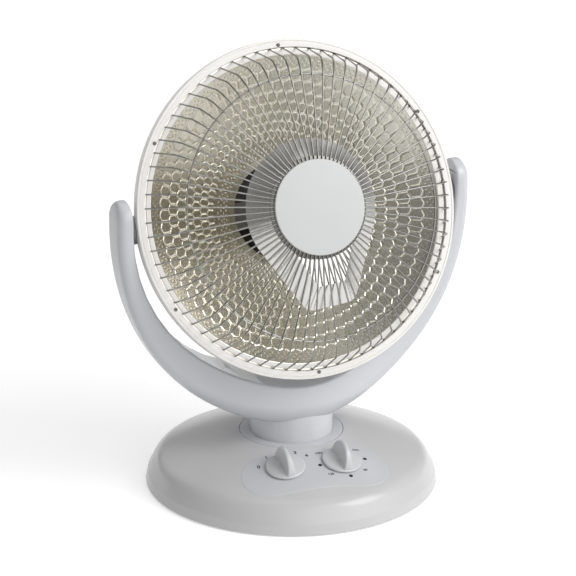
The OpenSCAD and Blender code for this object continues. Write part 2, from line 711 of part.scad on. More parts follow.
module front_ring() {
    color(white) on_dish() difference() {
        rotate_extrude($fn = 144) polygon([[ring_in, -ring_t], [ring_in, -0.5], [ring_in + 0.5, 0],
            [ring_r - 3.2, 0], [ring_r - 2.9, -ring_groove], [ring_r - 2.5, -ring_groove],
            [ring_r - 2.1, 0.2], [ring_r - 0.8, 0.1], [ring_r, -0.9], [ring_r, -ring_depth],
            [ring_r - ring_wall, -ring_depth], [ring_r - ring_wall, -ring_t]]);
        ring_of(6, ring_screw_at, 30) {
            translate([0, 0, -ring_t - 1]) cylinder(r = 1.2 + screw_gap, h = ring_t + 2);
            translate([0, 0, -0.7 - screw_gap]) cylinder(r = screw_head_r + screw_gap, h = 3);
        }
    }
}
module ring_screws() {
    color(steel) on_dish() ring_of(6, ring_screw_at, 30) union() {
        translate([0, 0, -0.7]) rotate_extrude($fn = 24)
            polygon([[0, 0], [screw_head_r, 0], [screw_head_r, 1.2], [screw_head_r - 0.7, 1.7], [0, 1.7]]);
        translate([0, 0, -11]) cylinder(r = 1.2 - screw_gap, h = 11);
    }
}
inner_ring_r = spoke_foot - spoke_r - 0.5;
inner_ring_t = 1;
module inner_ring() {
    color(white) on_dish() translate([0, 0, -flange_depth]) rotate_extrude($fn = 144)
        polygon([[bowl_r + 0.2, 0], [inner_ring_r, 0], [inner_ring_r, inner_ring_t - 0.2],
            [inner_ring_r - 0.2, inner_ring_t], [bowl_r + 0.6, inner_ring_t],
            [bowl_r + 0.2, inner_ring_t - 0.4]]);
}
// The reflector is a parabola about its focus.
function bowl_z(r) = -flange_depth - (bowl_r * bowl_r - r * r) / (4 * focal);
bowl_steps = 16;
bowl_line = [for (i = [0:bowl_steps])
    let (r = bowl_r + (hub_flat_r - bowl_r) * i / bowl_steps) [r, bowl_z(r)]];
hub_z = bowl_z(hub_flat_r);
flange_r = ring_in - 0.8;
housing_depth = rear_space - hub_z;
module reflector() {
    color(tan_alu) on_dish() rotate_extrude($fn = 144) polygon(concat([[flange_r, -flange_depth]], bowl_line,
        [[hub_hole_r, hub_z], [hub_hole_r, hub_z - sheet_t]],
        [for (i = [bowl_steps:-1:0]) bowl_line[i] - [0, sheet_t]], [[flange_r, -flange_depth - sheet_t]]));
}

// ---- grille ----
foot_z = -flange_depth + spoke_r + 0.02;
leg_end = [spoke_foot - leg_len * cos(leg_slope), foot_z + leg_len * sin(leg_slope)];
bend1_at = leg_end - shoulder_bend * [sin(leg_slope), cos(leg_slope)];
bend1_end = bend1_at + shoulder_bend * [sin(mid_slope), cos(mid_slope)];
bend2_at = bend1_end - long_bend * [sin(mid_slope), cos(mid_slope)];
bend2_end = bend2_at + long_bend * [sin(cone_slope), cos(cone_slope)];
spoke_in_z = bend2_end[1] + (bend2_end[0] - spoke_in) * tan(cone_slope);
// Height of a wire's middle at radius r, inside the second bend's end or within that bend.
function spoke_z(r) = r < bend2_end[0] ? bend2_end[1] + (bend2_end[0] - r) * tan(cone_slope)
    : bend2_at[1] + sqrt(long_bend * long_bend - pow(r - bend2_at[0], 2));
module rod(p, q, r) {
    translate([p[0], 0, p[1]]) rotate([0, atan2(q[0] - p[0], q[1] - p[1]), 0])
        cylinder(r = r, h = norm(q - p), $fn = 16);
}
module rod_bend(at, radius, from, to, r) {
    translate([at[0], 0, at[1]]) rotate([90, 0, 0]) rotate([0, 0, from])
        rotate_extrude(angle = to - from, $fn = 72) translate([radius, 0]) circle(r = r, $fn = 16);
}
// Each length runs this far over the end of a slightly thinner bend, so that the pieces join.
lap = 0.2;
module spoke() {
    rod([spoke_foot + 4.6, foot_z], [spoke_foot - 0.3, foot_z], spoke_r - 0.01);
    rod([spoke_foot, foot_z], leg_end + lap * [-cos(leg_slope), sin(leg_slope)], spoke_r);
    rod_bend(bend1_at, shoulder_bend, 90 - leg_slope, 90 - mid_slope + 1, spoke_r - 0.005);
    rod_bend(bend2_at, long_bend, 90 - mid_slope, 90 - cone_slope, spoke_r - 0.01);
    rod(bend2_end + lap * [cos(cone_slope), -sin(cone_slope)], [spoke_in, spoke_in_z], spoke_r);
}
module grille_spokes() {
    color(steel) on_dish() for (i = [0:spoke_count - 1])
        rotate([0, 0, spoke_phase + i * 360 / spoke_count]) spoke();
}
hoop_wire_r = 0.9;
hoop_z = spoke_z(hoop_r) - (spoke_r + hoop_wire_r + 0.03);
module grille_hoop() {
    color(steel) on_dish() translate([0, 0, hoop_z]) rotate_extrude($fn = 144) translate([hoop_r, 0])
        circle(r = hoop_wire_r, $fn = 16);
}
clamp_t = 1.2;
pad_in = spoke_in - 2;
// Height of the clamp plate's front face at radius r.
function clamp_z(r) = spoke_z(r) - spoke_r / cos(cone_slope) - 0.03;
disc_back = spoke_z(spoke_in) + spoke_r / cos(cone_slope) + 0.04;
disc_front = disc_back + disc_t;
clamp_screw_at = 25;
shield_front = clamp_z(spoke_in) - clamp_t - shield_gap;
shield_back = shield_front - shield_depth;
core_front = shield_front - core_gap;
module clamp_plate() {
    color(chrome) on_dish() difference() {
        rotate_extrude($fn = 96) polygon([[0, clamp_z(spoke_in)], [spoke_in, clamp_z(spoke_in)],
            [clamp_r, clamp_z(clamp_r)], [clamp_r, clamp_z(clamp_r) - clamp_t],
            [spoke_in, clamp_z(spoke_in) - clamp_t], [0, clamp_z(spoke_in) - clamp_t]]);
        ring_of(3, clamp_screw_at, 90) translate([0, 0, clamp_z(spoke_in) - 5])
            cylinder(r = 1.5 + screw_gap, h = 9);
    }
}
module centre_disc() {
    color(white) on_dish() difference() {
        rotate_extrude($fn = 96) polygon([[0, clamp_z(spoke_in)], [pad_in, clamp_z(spoke_in)],
            [pad_in, disc_back], [disc_r, disc_back], [disc_r, disc_front - 1],
            [disc_r - 0.4, disc_front - 0.3], [disc_r - 1.2, disc_front], [0, disc_front]]);
        ring_of(3, clamp_screw_at, 90) translate([0, 0, clamp_z(spoke_in) - 1])
            cylinder(r = 1.5 + screw_gap, h = 4.2);
    }
}
module clamp_screws() {
    color(steel) on_dish() ring_of(3, clamp_screw_at, 90)
        translate([0, 0, clamp_z(spoke_in) - clamp_t]) union() {
        translate([0, 0, -1.6]) cylinder(r = 3, h = 1.6);
        translate([0, 0, -1]) cylinder(r = 1.5, h = clamp_t + 4);
    }
}

// ---- element and shield ----
bracket_t = 1.2;
bracket_z = hub_z - sheet_t - bracket_t;
bracket_w = 26;
bracket_screw_at = hub_flat_r - 3.5;
rod_r = 3;
module element_bracket() {
    color(steel) on_dish() difference() {
        intersection() {
            translate([-hub_flat_r, -bracket_w / 2, bracket_z]) cube([2 * hub_flat_r, bracket_w, bracket_t]);
            translate([0, 0, bracket_z - 1]) cylinder(r = hub_flat_r, h = 9);
        }
        translate([0, 0, bracket_z - 1]) cylinder(r = rod_r + screw_gap, h = 9);
        for (side = [-1, 1]) translate([side * bracket_screw_at, 0, bracket_z - 1]) cylinder(r = 1.4, h = 9);
    }
}
module bracket_screws() {
    color(steel) on_dish() for (side = [-1, 1]) translate([side * bracket_screw_at, 0, bracket_z]) union() {
        translate([0, 0, -1.6]) cylinder(r = 2.6, h = 1.6);
        translate([0, 0, -1]) cylinder(r = 1.4 - screw_gap, h = 1 + bracket_t);
    }
}
base_front = hub_z + 6;
module ceramic_base() {
    color(ceramic) on_dish() difference() {
        union() {
            translate([0, 0, bracket_z + bracket_t])
                cylinder(r = core_r + 5, h = base_front - bracket_z - bracket_t);
            translate([0, 0, base_front]) cylinder(r = 9, h = 3);
        }
        translate([0, 0, bracket_z - 5]) cylinder(r = rod_r + screw_gap, h = 30);
    }
}
module element_core() {
    color(ceramic) on_dish() difference() {
        translate([0, 0, base_front]) cylinder(r = core_r, h = core_front - base_front);
        translate([0, 0, base_front - 1]) cylinder(r = 9 + screw_gap, h = 4.05);
        translate([0, 0, base_front - 1]) cylinder(r = rod_r + screw_gap, h = 200);
    }
}
module element_coil() {
    color("#8c5a3c") on_dish() translate([0, 0, base_front + 5]) difference() {
        cylinder(r = core_r + coil_t, h = core_front - base_front - 10);
        translate([0, 0, -1]) cylinder(r = core_r + screw_gap, h = 200);
    }
}
module shield_spacer() {
    color(ceramic) on_dish() difference() {
        translate([0, 0, core_front]) cylinder(r = 9, h = shield_front - shield_t - 0.05 - core_front);
        translate([0, 0, core_front - 1]) cylinder(r = rod_r + screw_gap, h = 30);
    }
}
module element_rod() {
    color(steel) on_dish() union() {
        translate([0, 0, bracket_z - 6]) cylinder(r = rod_r, h = shield_front + 3.2 - bracket_z + 6);
        translate([0, 0, bracket_z - 4]) cylinder(r = 6, h = 4, $fn = 6);
    }
}
module shield_nut() {
    color(steel) on_dish() translate([0, 0, shield_front]) difference() {
        cylinder(r = 6, h = 3, $fn = 6);
        translate([0, 0, -1]) cylinder(r = rod_r + screw_gap, h = 9);
    }
}
// The shield's outline swept back from its face, t inside the outer skin.
module shield_body(t, back) {
    lobe_corner = 13;
    face_corner = 2.5;
    hull() {
        translate([0, 0, back]) cylinder(r = shield_r - t, h = 0.3, $fn = 64);
        for (side = [-1, 1]) translate([side * (lobe_half - lobe_corner), lobe_corner - lobe_reach, back])
            cylinder(r = lobe_corner - t, h = 0.3, $fn = 32);
        translate([0, 0, shield_front - t - 0.3]) cylinder(r = shield_face_r - t, h = 0.3, $fn = 64);
        for (side = [-1, 1])
            translate([side * (lobe_face_half - face_corner), face_corner - lobe_face_reach,
                shield_front - t - 0.3]) cylinder(r = face_corner - t, h = 0.3, $fn = 16);
    }
}
module element_shield() {
    color(chrome) on_dish() rotate([0, 0, shield_turn]) difference() {
        shield_body(0, shield_back);
        translate([0, 0, -0.02]) shield_body(shield_t, shield_back);
        translate([0, 0, shield_front - 5]) cylinder(r = rod_r + screw_gap, h = 9);
    }
}
module thermal_cutout() {
    color(black) on_dish() translate([22 - hub_flat_r, 0, bracket_z - 7]) union() {
        cylinder(r = 8, h = 7);
        translate([0, 0, -3]) cylinder(r = 4, h = 4);
    }
}

// ---- tilt joint ----
tilt_screw_r = 2;
boss_end = yoke_in + 0.1 - face_gap;
stub_end = cover_boss_end + face_gap;
// The grey bosses end on the housing's curve, on its flat pads and behind the front ring.
module tilt_bosses() {
    color(grey) on_dish() difference() {
        for (side = [-1, 1]) at_side(side) union() {
            translate([0, 0, pad_end - 20]) cylinder(r = boss_r, h = boss_end - pad_end + 20);
            translate([0, 0, boss_end - 1]) cylinder(r = pivot_r, h = stub_end - boss_end + 1);
        }
        rotate_extrude($fn = 120) polygon(concat([[0, 5], [housing_r + 0.03, 5]], housing_curve(-0.03)));
        translate([0, 0, -ring_depth - pocket_gap]) cylinder(r = ring_r + pocket_gap, h = 20, $fn = 120);
        for (side = [-1, 1]) at_side(side) {
            translate([0, 0, pad_end - 30]) cylinder(r = pad_r + 0.03, h = 30);
            translate([0, 0, pad_end - 1]) cylinder(r = tilt_screw_r + screw_gap, h = 40);
        }
    }
}
washer_t = 1.2;
module tilt_washers() {
    color(steel) on_dish() for (side = [-1, 1]) at_side(side) translate([0, 0, stub_end]) difference() {
        cylinder(r = pivot_r + 3.5, h = washer_t);
        translate([0, 0, -1]) cylinder(r = tilt_screw_r + screw_gap, h = 9);
    }
}
module tilt_screws() {
    color(steel) on_dish() for (side = [-1, 1]) at_side(side) union() {
        translate([0, 0, housing_r - 11])
            cylinder(r = tilt_screw_r, h = stub_end + washer_t - housing_r + 11);
        translate([0, 0, stub_end + washer_t]) cylinder(r = 4, h = 2.4);
    }
}

// ---- controls ----
knob_at = norm([knob_half, knob_front]);
// A knob's frame: the origin on the dome under the knob's middle, z square to the dome.
module at_knob(side) {
    heading = atan2(-knob_front, side * knob_half);
    rotate([0, 0, control_turn]) translate([side * knob_half, -knob_front, dome_z(knob_at)])
        rotate([0, 0, heading]) rotate([0, asin(knob_at / dome_r), 0]) rotate([0, 0, -heading]) children();
}
switch_neck_r = spindle_r + 2;
nut_h = 1.6;
nut_z = panel_proud + 0.05;
switch_top = -base_wall - 1.3;
neck_end = nut_z + nut_h + 0.3;
knob_low = panel_proud + 0.5;
grip_r = (pow(knob_r - 1.2, 2) + pow(grip_h - 3, 2)) / (2 * (grip_h - 3));
module switch_body(size, depth) {
    difference() {
        union() {
            translate([-size / 2, -size / 2, switch_top - depth]) cube([size, size, depth]);
            translate([0, 0, switch_top - 1]) cylinder(r = switch_neck_r, h = neck_end - switch_top + 1);
        }
        translate([0, 0, switch_top - 10]) cylinder(r = spindle_r + run_gap, h = 30);
    }
}
module spindle() {
    translate([0, 0, switch_top - 9]) cylinder(r = spindle_r, h = spindle_reach - switch_top + 9);
}
grip_side = [[grip_t / 2, knob_low + 0.4], [grip_t * 0.46, spindle_reach], [grip_t * 0.3, grip_h - 1],
    [grip_t * 0.2, grip_h]];
module knob() {
    rotate([0, 0, knob_turn]) difference() {
        union() {
            rotate_extrude($fn = 96) polygon([[0, knob_low], [knob_r - 0.4, knob_low],
                [knob_r, knob_low + 0.5], [knob_r - 0.2, knob_low + 1.8], [knob_r - 1, knob_low + 2.6],
                [8, knob_low + 4], [0, knob_low + 4]]);
            intersection() {
                translate([grip_t, 0, 0]) rotate([0, -90, 0]) linear_extrude(2 * grip_t) union() {
                    translate([grip_h - grip_r, 0]) circle(r = grip_r, $fn = 96);
                    translate([knob_low + 0.5, -grip_r])
                        square([grip_h - grip_r - knob_low - 0.5, 2 * grip_r]);
                }
                rotate([90, 0, 0]) linear_extrude(60, center = true)
                    polygon(concat(grip_side, [for (p = reversed(grip_side)) [-p[0], p[1]]]));
            }
        }
        translate([0, 0, knob_low - 2]) cylinder(r = switch_neck_r + 4.5, h = neck_end + 0.4 - knob_low + 2);
        translate([0, 0, knob_low - 2])
            cylinder(r = spindle_r + 0.02, h = spindle_reach + 0.1 - knob_low + 2);
    }
}
switch_size = 28;
switch_depth = 16;
timer_size = 38;
timer_depth = 22;
module rotary_switch() { color(black) at_knob(-1) switch_body(switch_size, switch_depth); }
module timer_unit() { color(steel) at_knob(1) switch_body(timer_size, timer_depth); }
module switch_nuts() {
    color(steel) for (side = [-1, 1]) at_knob(side) translate([0, 0, nut_z]) difference() {
        cylinder(r = switch_neck_r + 3.6, h = nut_h, $fn = 6);
        translate([0, 0, -1]) cylinder(r = switch_neck_r + screw_gap, h = 9);
    }
}
module power_spindle() { color(steel) at_knob(-1) spindle(); }
module timer_spindle() { color(steel) at_knob(1) spindle(); }
module power_knob() { color(white) at_knob(-1) knob(); }
module timer_knob() { color(white) at_knob(1) knob(); }

// ---- tip-over switch ----
plunger_r = 3;
guide_t = 4;
collar_z = plate_top + guide_t + plunger_travel + 0.2;
collar_t = 2;
tip_roof = collar_z + collar_t + 10;
module tip_switch() {
    color(black) translate([tip_at[0], tip_at[1], plate_top]) difference() {
        translate([-9, -9, 0]) cube([18, 18, tip_roof + 2 - plate_top]);
        translate([0, 0, -1]) cylinder(r = plunger_r + run_gap, h = guide_t + 2);
        translate([0, 0, guide_t]) cylinder(r = 6.5, h = tip_roof - plate_top - guide_t);
    }
}
module tip_plunger() {
    color(white) translate([tip_at[0], tip_at[1], 0]) union() {
        cylinder(r = 6, h = plate_z - 0.6);
        cylinder(r = plunger_r, h = collar_z + 1);
        translate([0, 0, collar_z]) cylinder(r = 5.6, h = collar_t);
    }
}
module tip_spring() {
    color(steel) translate([tip_at[0], tip_at[1], collar_z + collar_t]) difference() {
        cylinder(r = 5, h = tip_roof - collar_z - collar_t);
        translate([0, 0, -1]) cylinder(r = 4, h = 30);
    }
}

base_housing();
control_panel();
bottom_plate();
rubber_feet();
base_screws();
ballast_plate();
ballast_screws();
cord_gland();
swivel_bush();
swing_motor();
motor_screws();
terminal_block();
rotary_switch();
timer_unit();
switch_nuts();
tip_switch();
tip_plunger();
tip_spring();
crank();
power_knob();
power_spindle();
timer_knob();
timer_spindle();
neck();
swing_arm();
thrust_washer();
swing_arm_screws();
neck_screws();
yoke_shell();
yoke_cover();
yoke_cover_screws();
tilt_bosses();
tilt_washers();
tilt_screws();
rear_housing();
front_ring();
ring_screws();
inner_ring();
reflector();
grille_spokes();
grille_hoop();
clamp_plate();
centre_disc();
clamp_screws();
element_bracket();
bracket_screws();
ceramic_base();
element_core();
element_coil();
shield_spacer();
element_rod();
shield_nut();
element_shield();
thermal_cutout();
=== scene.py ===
from math import atan2, cos, pi, radians, sin, sqrt

import bmesh
import bpy
import numpy as np
from mathutils import Matrix, Vector


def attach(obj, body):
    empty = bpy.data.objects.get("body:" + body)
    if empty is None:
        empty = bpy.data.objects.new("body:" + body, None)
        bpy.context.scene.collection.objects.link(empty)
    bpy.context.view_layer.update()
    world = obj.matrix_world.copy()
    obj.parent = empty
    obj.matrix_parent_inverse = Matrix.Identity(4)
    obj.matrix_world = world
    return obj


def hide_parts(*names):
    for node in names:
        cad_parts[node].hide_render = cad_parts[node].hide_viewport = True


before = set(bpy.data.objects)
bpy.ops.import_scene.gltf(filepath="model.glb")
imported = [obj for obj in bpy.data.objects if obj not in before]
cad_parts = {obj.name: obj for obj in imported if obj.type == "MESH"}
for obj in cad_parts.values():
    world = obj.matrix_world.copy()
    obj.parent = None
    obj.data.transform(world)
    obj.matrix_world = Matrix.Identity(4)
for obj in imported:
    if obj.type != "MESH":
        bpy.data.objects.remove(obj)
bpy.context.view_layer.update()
MM = 0.001

# ---------------------------------------------------------------------------
# Camera: where the photograph was taken from. A long lens stands 3 m off,
# 23 degrees to the left of the dish's front and 20 degrees above it.
CAMERA_AZIMUTH, CAMERA_ELEVATION, CAMERA_ROLL = radians(-22.83), radians(20.13), radians(0.09)
CAMERA_DISTANCE = 3077 * MM
CAMERA_TARGET = Vector((-3.84, 0, 208.54)) * MM
FOCAL_PIXELS, FRAME_PIXELS, SENSOR = 3040, 576, 36.0

away = Vector((sin(CAMERA_AZIMUTH) * cos(CAMERA_ELEVATION),
               -cos(CAMERA_AZIMUTH) * cos(CAMERA_ELEVATION), sin(CAMERA_ELEVATION)))
lens = bpy.data.cameras.new("camera")
lens.sensor_width = SENSOR
lens.lens = FOCAL_PIXELS * SENSOR / FRAME_PIXELS
lens.clip_end = 50
camera = bpy.data.objects.new("camera", lens)
camera.matrix_world = (Matrix.Translation(CAMERA_TARGET + away * CAMERA_DISTANCE)
                       @ away.to_track_quat("Z", "Y").to_matrix().to_4x4()
                       @ Matrix.Rotation(CAMERA_ROLL, 4, "Z"))
bpy.context.scene.collection.objects.link(camera)
bpy.context.scene.camera = camera
bpy.context.scene.view_settings.view_transform = "Standard"

# ---------------------------------------------------------------------------
# Studio: a round cove of white paper, a soft box above on the right, one on top
# and a faint one behind, and a room that is dim but for a broad bright window in front on the right.
LIT_FROM = Vector((0.42, -0.86, 0.28)).normalized()
ROOM_DIM, ROOM_BRIGHT, WINDOW_EDGE = 0.24, 1.9, 0.58
COVE_R, COVE_BEND, COVE_H = 7.0, 0.6, 0.85


def colour(code):
    """An sRGB hex code as linear RGBA: the two branches of the sRGB curve, value by value."""
    parts = [int(code[i:i + 2], 16) / 255 for i in (1, 3, 5)]
    return [c / 12.92 if c <= 0.04045 else ((c + 0.055) / 1.055) ** 2.4 for c in parts] + [1.0]


def add(tree, kind, inputs=None, **settings):
    """Adds one node. Inputs are set, or linked where they are sockets; the rest are its own settings."""
    new = tree.nodes.new(kind)
    for key, value in settings.items():
        setattr(new, key, value)
    for key, value in (inputs or {}).items():
        if isinstance(value, bpy.types.NodeSocket):
            tree.links.new(value, new.inputs[key])
        else:
            new.inputs[key].default_value = value
    return new


def blank(name):
    """A new material with no nodes, and its tree."""
    new = bpy.data.materials.new(name)
    new.use_nodes = True
    new.node_tree.nodes.clear()
    return new, new.node_tree


def revolve(profile, steps):
    """Rows of points: each (r, z) of the profile carried round the Z axis in equal steps."""
    turn = np.arange(steps) * 2 * pi / steps
    r, z = np.asarray(profile, float).T
    return np.stack([r[:, None] * np.cos(turn), r[:, None] * np.sin(turn),
                     np.repeat(z[:, None], steps, 1)], -1)


def net(rows, round_rows=True, round_columns=False):
    """A grid of points as (vertices, quads). Rows close on themselves, and so can the columns."""
    m, n = rows.shape[:2]
    i = np.arange(m if round_columns else m - 1)[:, None]
    j = np.arange(n if round_rows else n - 1)[None, :]
    a, b = i * n + j, i * n + (j + 1) % n
    c, d = (i + 1) % m * n + (j + 1) % n, (i + 1) % m * n + j
    return rows.reshape(-1, 3), np.stack([a, b, c, d], -1).reshape(-1, 4)


paper, tree = blank("white_paper_cove")
rays = add(tree, "ShaderNodeLightPath")
mirrored = add(tree, "ShaderNodeMath", {0: rays.outputs["Is Glossy Ray"],
                                        1: rays.outputs["Is Transmission Ray"]}, operation="MAXIMUM")
seen = add(tree, "ShaderNodeMath", {0: rays.outputs["Is Camera Ray"], 1: mirrored.outputs[0]},
           operation="MAXIMUM")
matt = add(tree, "ShaderNodeBsdfDiffuse", {"Color": colour("#F4F4F4")})
glow = add(tree, "ShaderNodeEmission", {"Color": (1, 1, 1, 1), "Strength": 0.45})
both = add(tree, "ShaderNodeAddShader", {0: matt.outputs[0], 1: glow.outputs[0]})
pick = add(tree, "ShaderNodeMixShader", {0: seen.outputs[0], 1: matt.outputs[0], 2: both.outputs[0]})
add(tree, "ShaderNodeOutputMaterial", {"Surface": pick.outputs[0]})

# The floor's profile is a line, then a quarter circle up into a low wall.
turn_up = np.linspace(0, pi / 2, 12)
cove_bend = np.stack([COVE_R - COVE_BEND + COVE_BEND * np.sin(turn_up),
                      COVE_BEND - COVE_BEND * np.cos(turn_up)], 1)
cove_line = np.concatenate([[(0, 0), (COVE_R * 0.3, 0), (COVE_R * 0.65, 0)], cove_bend, [(COVE_R, COVE_H)]])
cove_points, cove_quads = net(revolve(cove_line, 96))
cove_mesh = bpy.data.meshes.new("studio_cove")
cove_mesh.from_pydata(cove_points, [], cove_quads.tolist())
cove_mesh.materials.append(paper)
cove_mesh.polygons.foreach_set("use_smooth", np.ones(len(cove_quads), bool))
cove = bpy.data.objects.new("studio_cove", cove_mesh)
bpy.context.scene.collection.objects.link(cove)

room = bpy.data.worlds.new("studio_room")
bpy.context.scene.world = room
room.use_nodes = True
tree = room.node_tree
tree.nodes.clear()
where = add(tree, "ShaderNodeTexCoord")
toward = add(tree, "ShaderNodeVectorMath", {0: where.outputs["Generated"], 1: LIT_FROM},
             operation="DOT_PRODUCT")
level = add(tree, "ShaderNodeMapRange", {"Value": toward.outputs["Value"], "From Min": WINDOW_EDGE,
                                         "From Max": 1.0, "To Min": ROOM_DIM, "To Max": ROOM_BRIGHT})
walls = add(tree, "ShaderNodeBackground", {"Color": level.outputs[0], "Strength": 1.0})
add(tree, "ShaderNodeOutputWorld", {"Surface": walls.outputs[0]})


def soft_box(name, place, size, power, target=(0, 0, 0.25)):
    """A square lamp at a place in metres, turned to the target."""
    data = bpy.data.lights.new(name, "AREA")
    data.shape = "SQUARE"
    data.size = size
    data.energy = power
    lamp = bpy.data.objects.new(name, data)
    lamp.matrix_world = (Matrix.Translation(place)
                         @ (Vector(place) - Vector(target)).to_track_quat("Z", "Y").to_matrix().to_4x4())
    bpy.context.scene.collection.objects.link(lamp)


soft_box("soft_box_right", (1.5, -1.5, 1.9), 1.3, 23)
soft_box("soft_box_top", (0.1, 0.5, 2.4), 2.0, 9)
soft_box("soft_box_rear", (-0.6, 2.4, 1.5), 1.4, 4)

# ---------------------------------------------------------------------------
# Base housing: a domed shell moulded in glossy white ABS, with a sharp crease
# over its skirt, a bevel, a soft shoulder and a sunk seat for the turntable.
BASE_R, RIM_Z, SKIRT_Z, SKIRT_LEAN, BEVEL_LEAN = 150.2, 1.5, 11.5, 2.0, radians(27)
SHOULDER, DOME_R, DOME_TOP, BASE_WALL = 8.0, 340.0, 59.3, 2.6
RECESS_R, RECESS_Z, NECK_BORE = 53.6, 52.0, 18.2
REBATE, REBATE_TOP = 2.2, 12


def dome_z(r):
    """Height of the domed top at radius r: a sphere of the dome's radius."""
    return DOME_TOP - DOME_R + np.sqrt(DOME_R ** 2 - np.asarray(r, float) ** 2)


def bend(a, b, c, steps):
    """The quadratic curve from a to c that is drawn towards b."""
    t = np.linspace(0, 1, steps)[:, None]
    a, b, c = np.array(a, float), np.array(b, float), np.array(c, float)
    return (1 - t) ** 2 * a + 2 * t * (1 - t) * b + t ** 2 * c


def rounded(points, radii, steps=5):
    """A line of points whose corners are cut back by the radii and joined by quadratic curves."""
    points = [np.array(p, float) for p in points]
    line = [points[0][None]]
    for before, here, after, radius in zip(points, points[1:], points[2:], radii):
        back, on = before - here, after - here
        start = here + back / np.linalg.norm(back) * radius
        end = here + on / np.linalg.norm(on) * radius
        line.append(bend(start, here, end, steps) if radius else here[None])
    line.append(points[-1][None])
    return np.concatenate(line)


def object_from(name, parts, crease=35):
    """One smooth-shaded mesh from several nets in millimetres, merged, with its faces turned outwards."""
    points = np.concatenate([p for p, _ in parts]) * MM
    starts = np.cumsum([0] + [len(p) for p, _ in parts[:-1]])
    quads = np.concatenate([q + s for (_, q), s in zip(parts, starts)])
    mesh = bpy.data.meshes.new(name)
    mesh.vertices.add(len(points))
    mesh.vertices.foreach_set("co", points.ravel())
    mesh.loops.add(quads.size)
    mesh.loops.foreach_set("vertex_index", quads.ravel())
    mesh.polygons.add(len(quads))
    mesh.polygons.foreach_set("loop_start", np.arange(len(quads)) * 4)
    mesh.polygons.foreach_set("loop_total", np.full(len(quads), 4))
    mesh.update(calc_edges=True)
    work = bmesh.new()
    work.from_mesh(mesh)
    bmesh.ops.remove_doubles(work, verts=work.verts, dist=2e-6)
    bmesh.ops.dissolve_degenerate(work, edges=work.edges, dist=1e-7)
    bmesh.ops.recalc_face_normals(work, faces=work.faces)
    work.to_mesh(mesh)
    work.free()
    mesh.polygons.foreach_set("use_smooth", np.ones(len(mesh.polygons), bool))
    mesh.set_sharp_from_angle(angle=radians(crease))
    made = bpy.data.objects.new(name, mesh)
    bpy.context.scene.collection.objects.link(made)
    return made


def fit(made, body, material, slot, *nodes):
    """Gives a piece its material and its body, and hides the nodes it stands for. The slot is not used."""
    made.data.materials.clear()
    made.data.materials.append(material)
    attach(made, body)
    if nodes:
        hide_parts(*nodes)
    return made


def plain_finish(name, tint, shine=0.22, grain=1.4, depth=0.02):
    """An evenly coloured piece, moulded, cast or enamelled; as given, glossy moulded ABS. A faint cloud lies
    in the tint, and one noise varies the gloss, and the surface by a depth in mm. Its grain, in mm, is
    coarser than the real one, so that it shows."""
    made, tree = blank(name)
    where = add(tree, "ShaderNodeTexCoord")
    cloud = add(tree, "ShaderNodeTexNoise", {"Vector": where.outputs["Object"], "Scale": 1000 / 42,
                                             "Detail": 2.0})
    dark = [c * 0.955 for c in colour(tint)[:3]] + [1]
    tone = add(tree, "ShaderNodeMix", {"Factor": cloud.outputs["Fac"], 6: colour(tint), 7: dark},
               data_type="RGBA")
    peel = add(tree, "ShaderNodeTexNoise", {"Vector": where.outputs["Object"], "Scale": 1000 / grain,
                                            "Detail": 1.0})
    gloss = add(tree, "ShaderNodeMapRange", {"Value": peel.outputs["Fac"], "To Min": shine - 0.03,
                                             "To Max": shine + 0.04})
    relief = add(tree, "ShaderNodeBump", {"Height": peel.outputs["Fac"], "Strength": 0.35,
                                          "Distance": depth * MM})
    skin = add(tree, "ShaderNodeBsdfPrincipled", {
        "Base Color": tone.outputs[2], "Roughness": gloss.outputs[0], "IOR": 1.52,
        "Normal": relief.outputs[0]})
    add(tree, "ShaderNodeOutputMaterial", {"Surface": skin.outputs[0]})
    return made


base_abs = plain_finish("base_abs_moulded", "#D8D7D8")
# The bevel meets the dome where its line has risen to the height that the dome has near there.
guess_z = float(dome_z(BASE_R - SKIRT_LEAN - 10))
corner_r = BASE_R - SKIRT_LEAN - (guess_z - SKIRT_Z) * sin(BEVEL_LEAN) / cos(BEVEL_LEAN)
corner = (corner_r, SKIRT_Z + (BASE_R - SKIRT_LEAN - corner_r) * cos(BEVEL_LEAN) / sin(BEVEL_LEAN))
bevel_end = (corner[0] + SHOULDER * sin(BEVEL_LEAN), corner[1] - SHOULDER * cos(BEVEL_LEAN))
dome_r = np.linspace(corner_r - SHOULDER, RECESS_R + 0.5, 40)
recess_edge = float(dome_z(RECESS_R))
outside = np.concatenate([
    rounded([(BASE_R - REBATE, REBATE_TOP), (BASE_R - REBATE, RIM_Z), (BASE_R, RIM_Z),
             (BASE_R - SKIRT_LEAN, SKIRT_Z), bevel_end], [0.3, 0.5, 1.2])[:-1],
    bend(bevel_end, corner, (dome_r[0], float(dome_z(dome_r[0]))), 16),
    np.stack([dome_r[1:], dome_z(dome_r[1:])], 1),
    [(RECESS_R + 0.15, recess_edge - 0.1), (RECESS_R, recess_edge - 0.5), (RECESS_R, RECESS_Z),
     (NECK_BORE, RECESS_Z), (NECK_BORE, RECESS_Z - BASE_WALL), (RECESS_R, RECESS_Z - BASE_WALL)],
    np.stack([dome_r[::-4], dome_z(dome_r[::-4]) - BASE_WALL], 1),
    [(corner_r - 3, corner[1] - 4), (BASE_R - REBATE - 3, REBATE_TOP), (BASE_R - REBATE, REBATE_TOP)]])
fit(object_from("base_dome", [net(revolve(outside, 256))]), "base", base_abs,
    "base_housing", "base_housing")

# ---------------------------------------------------------------------------
# Control panel: an oval plate of the same ABS let into the dome, with the dials
# printed on it in black: five power steps on the left, a timer on the right.
CONTROL_TURN, PANEL_FRONT, PANEL_HALF, PANEL_REACH, PROUD = radians(-7), 87.5, 31.0, 76.0, 0.3
KNOB_HALF, KNOB_FRONT = 29.2, 82.5


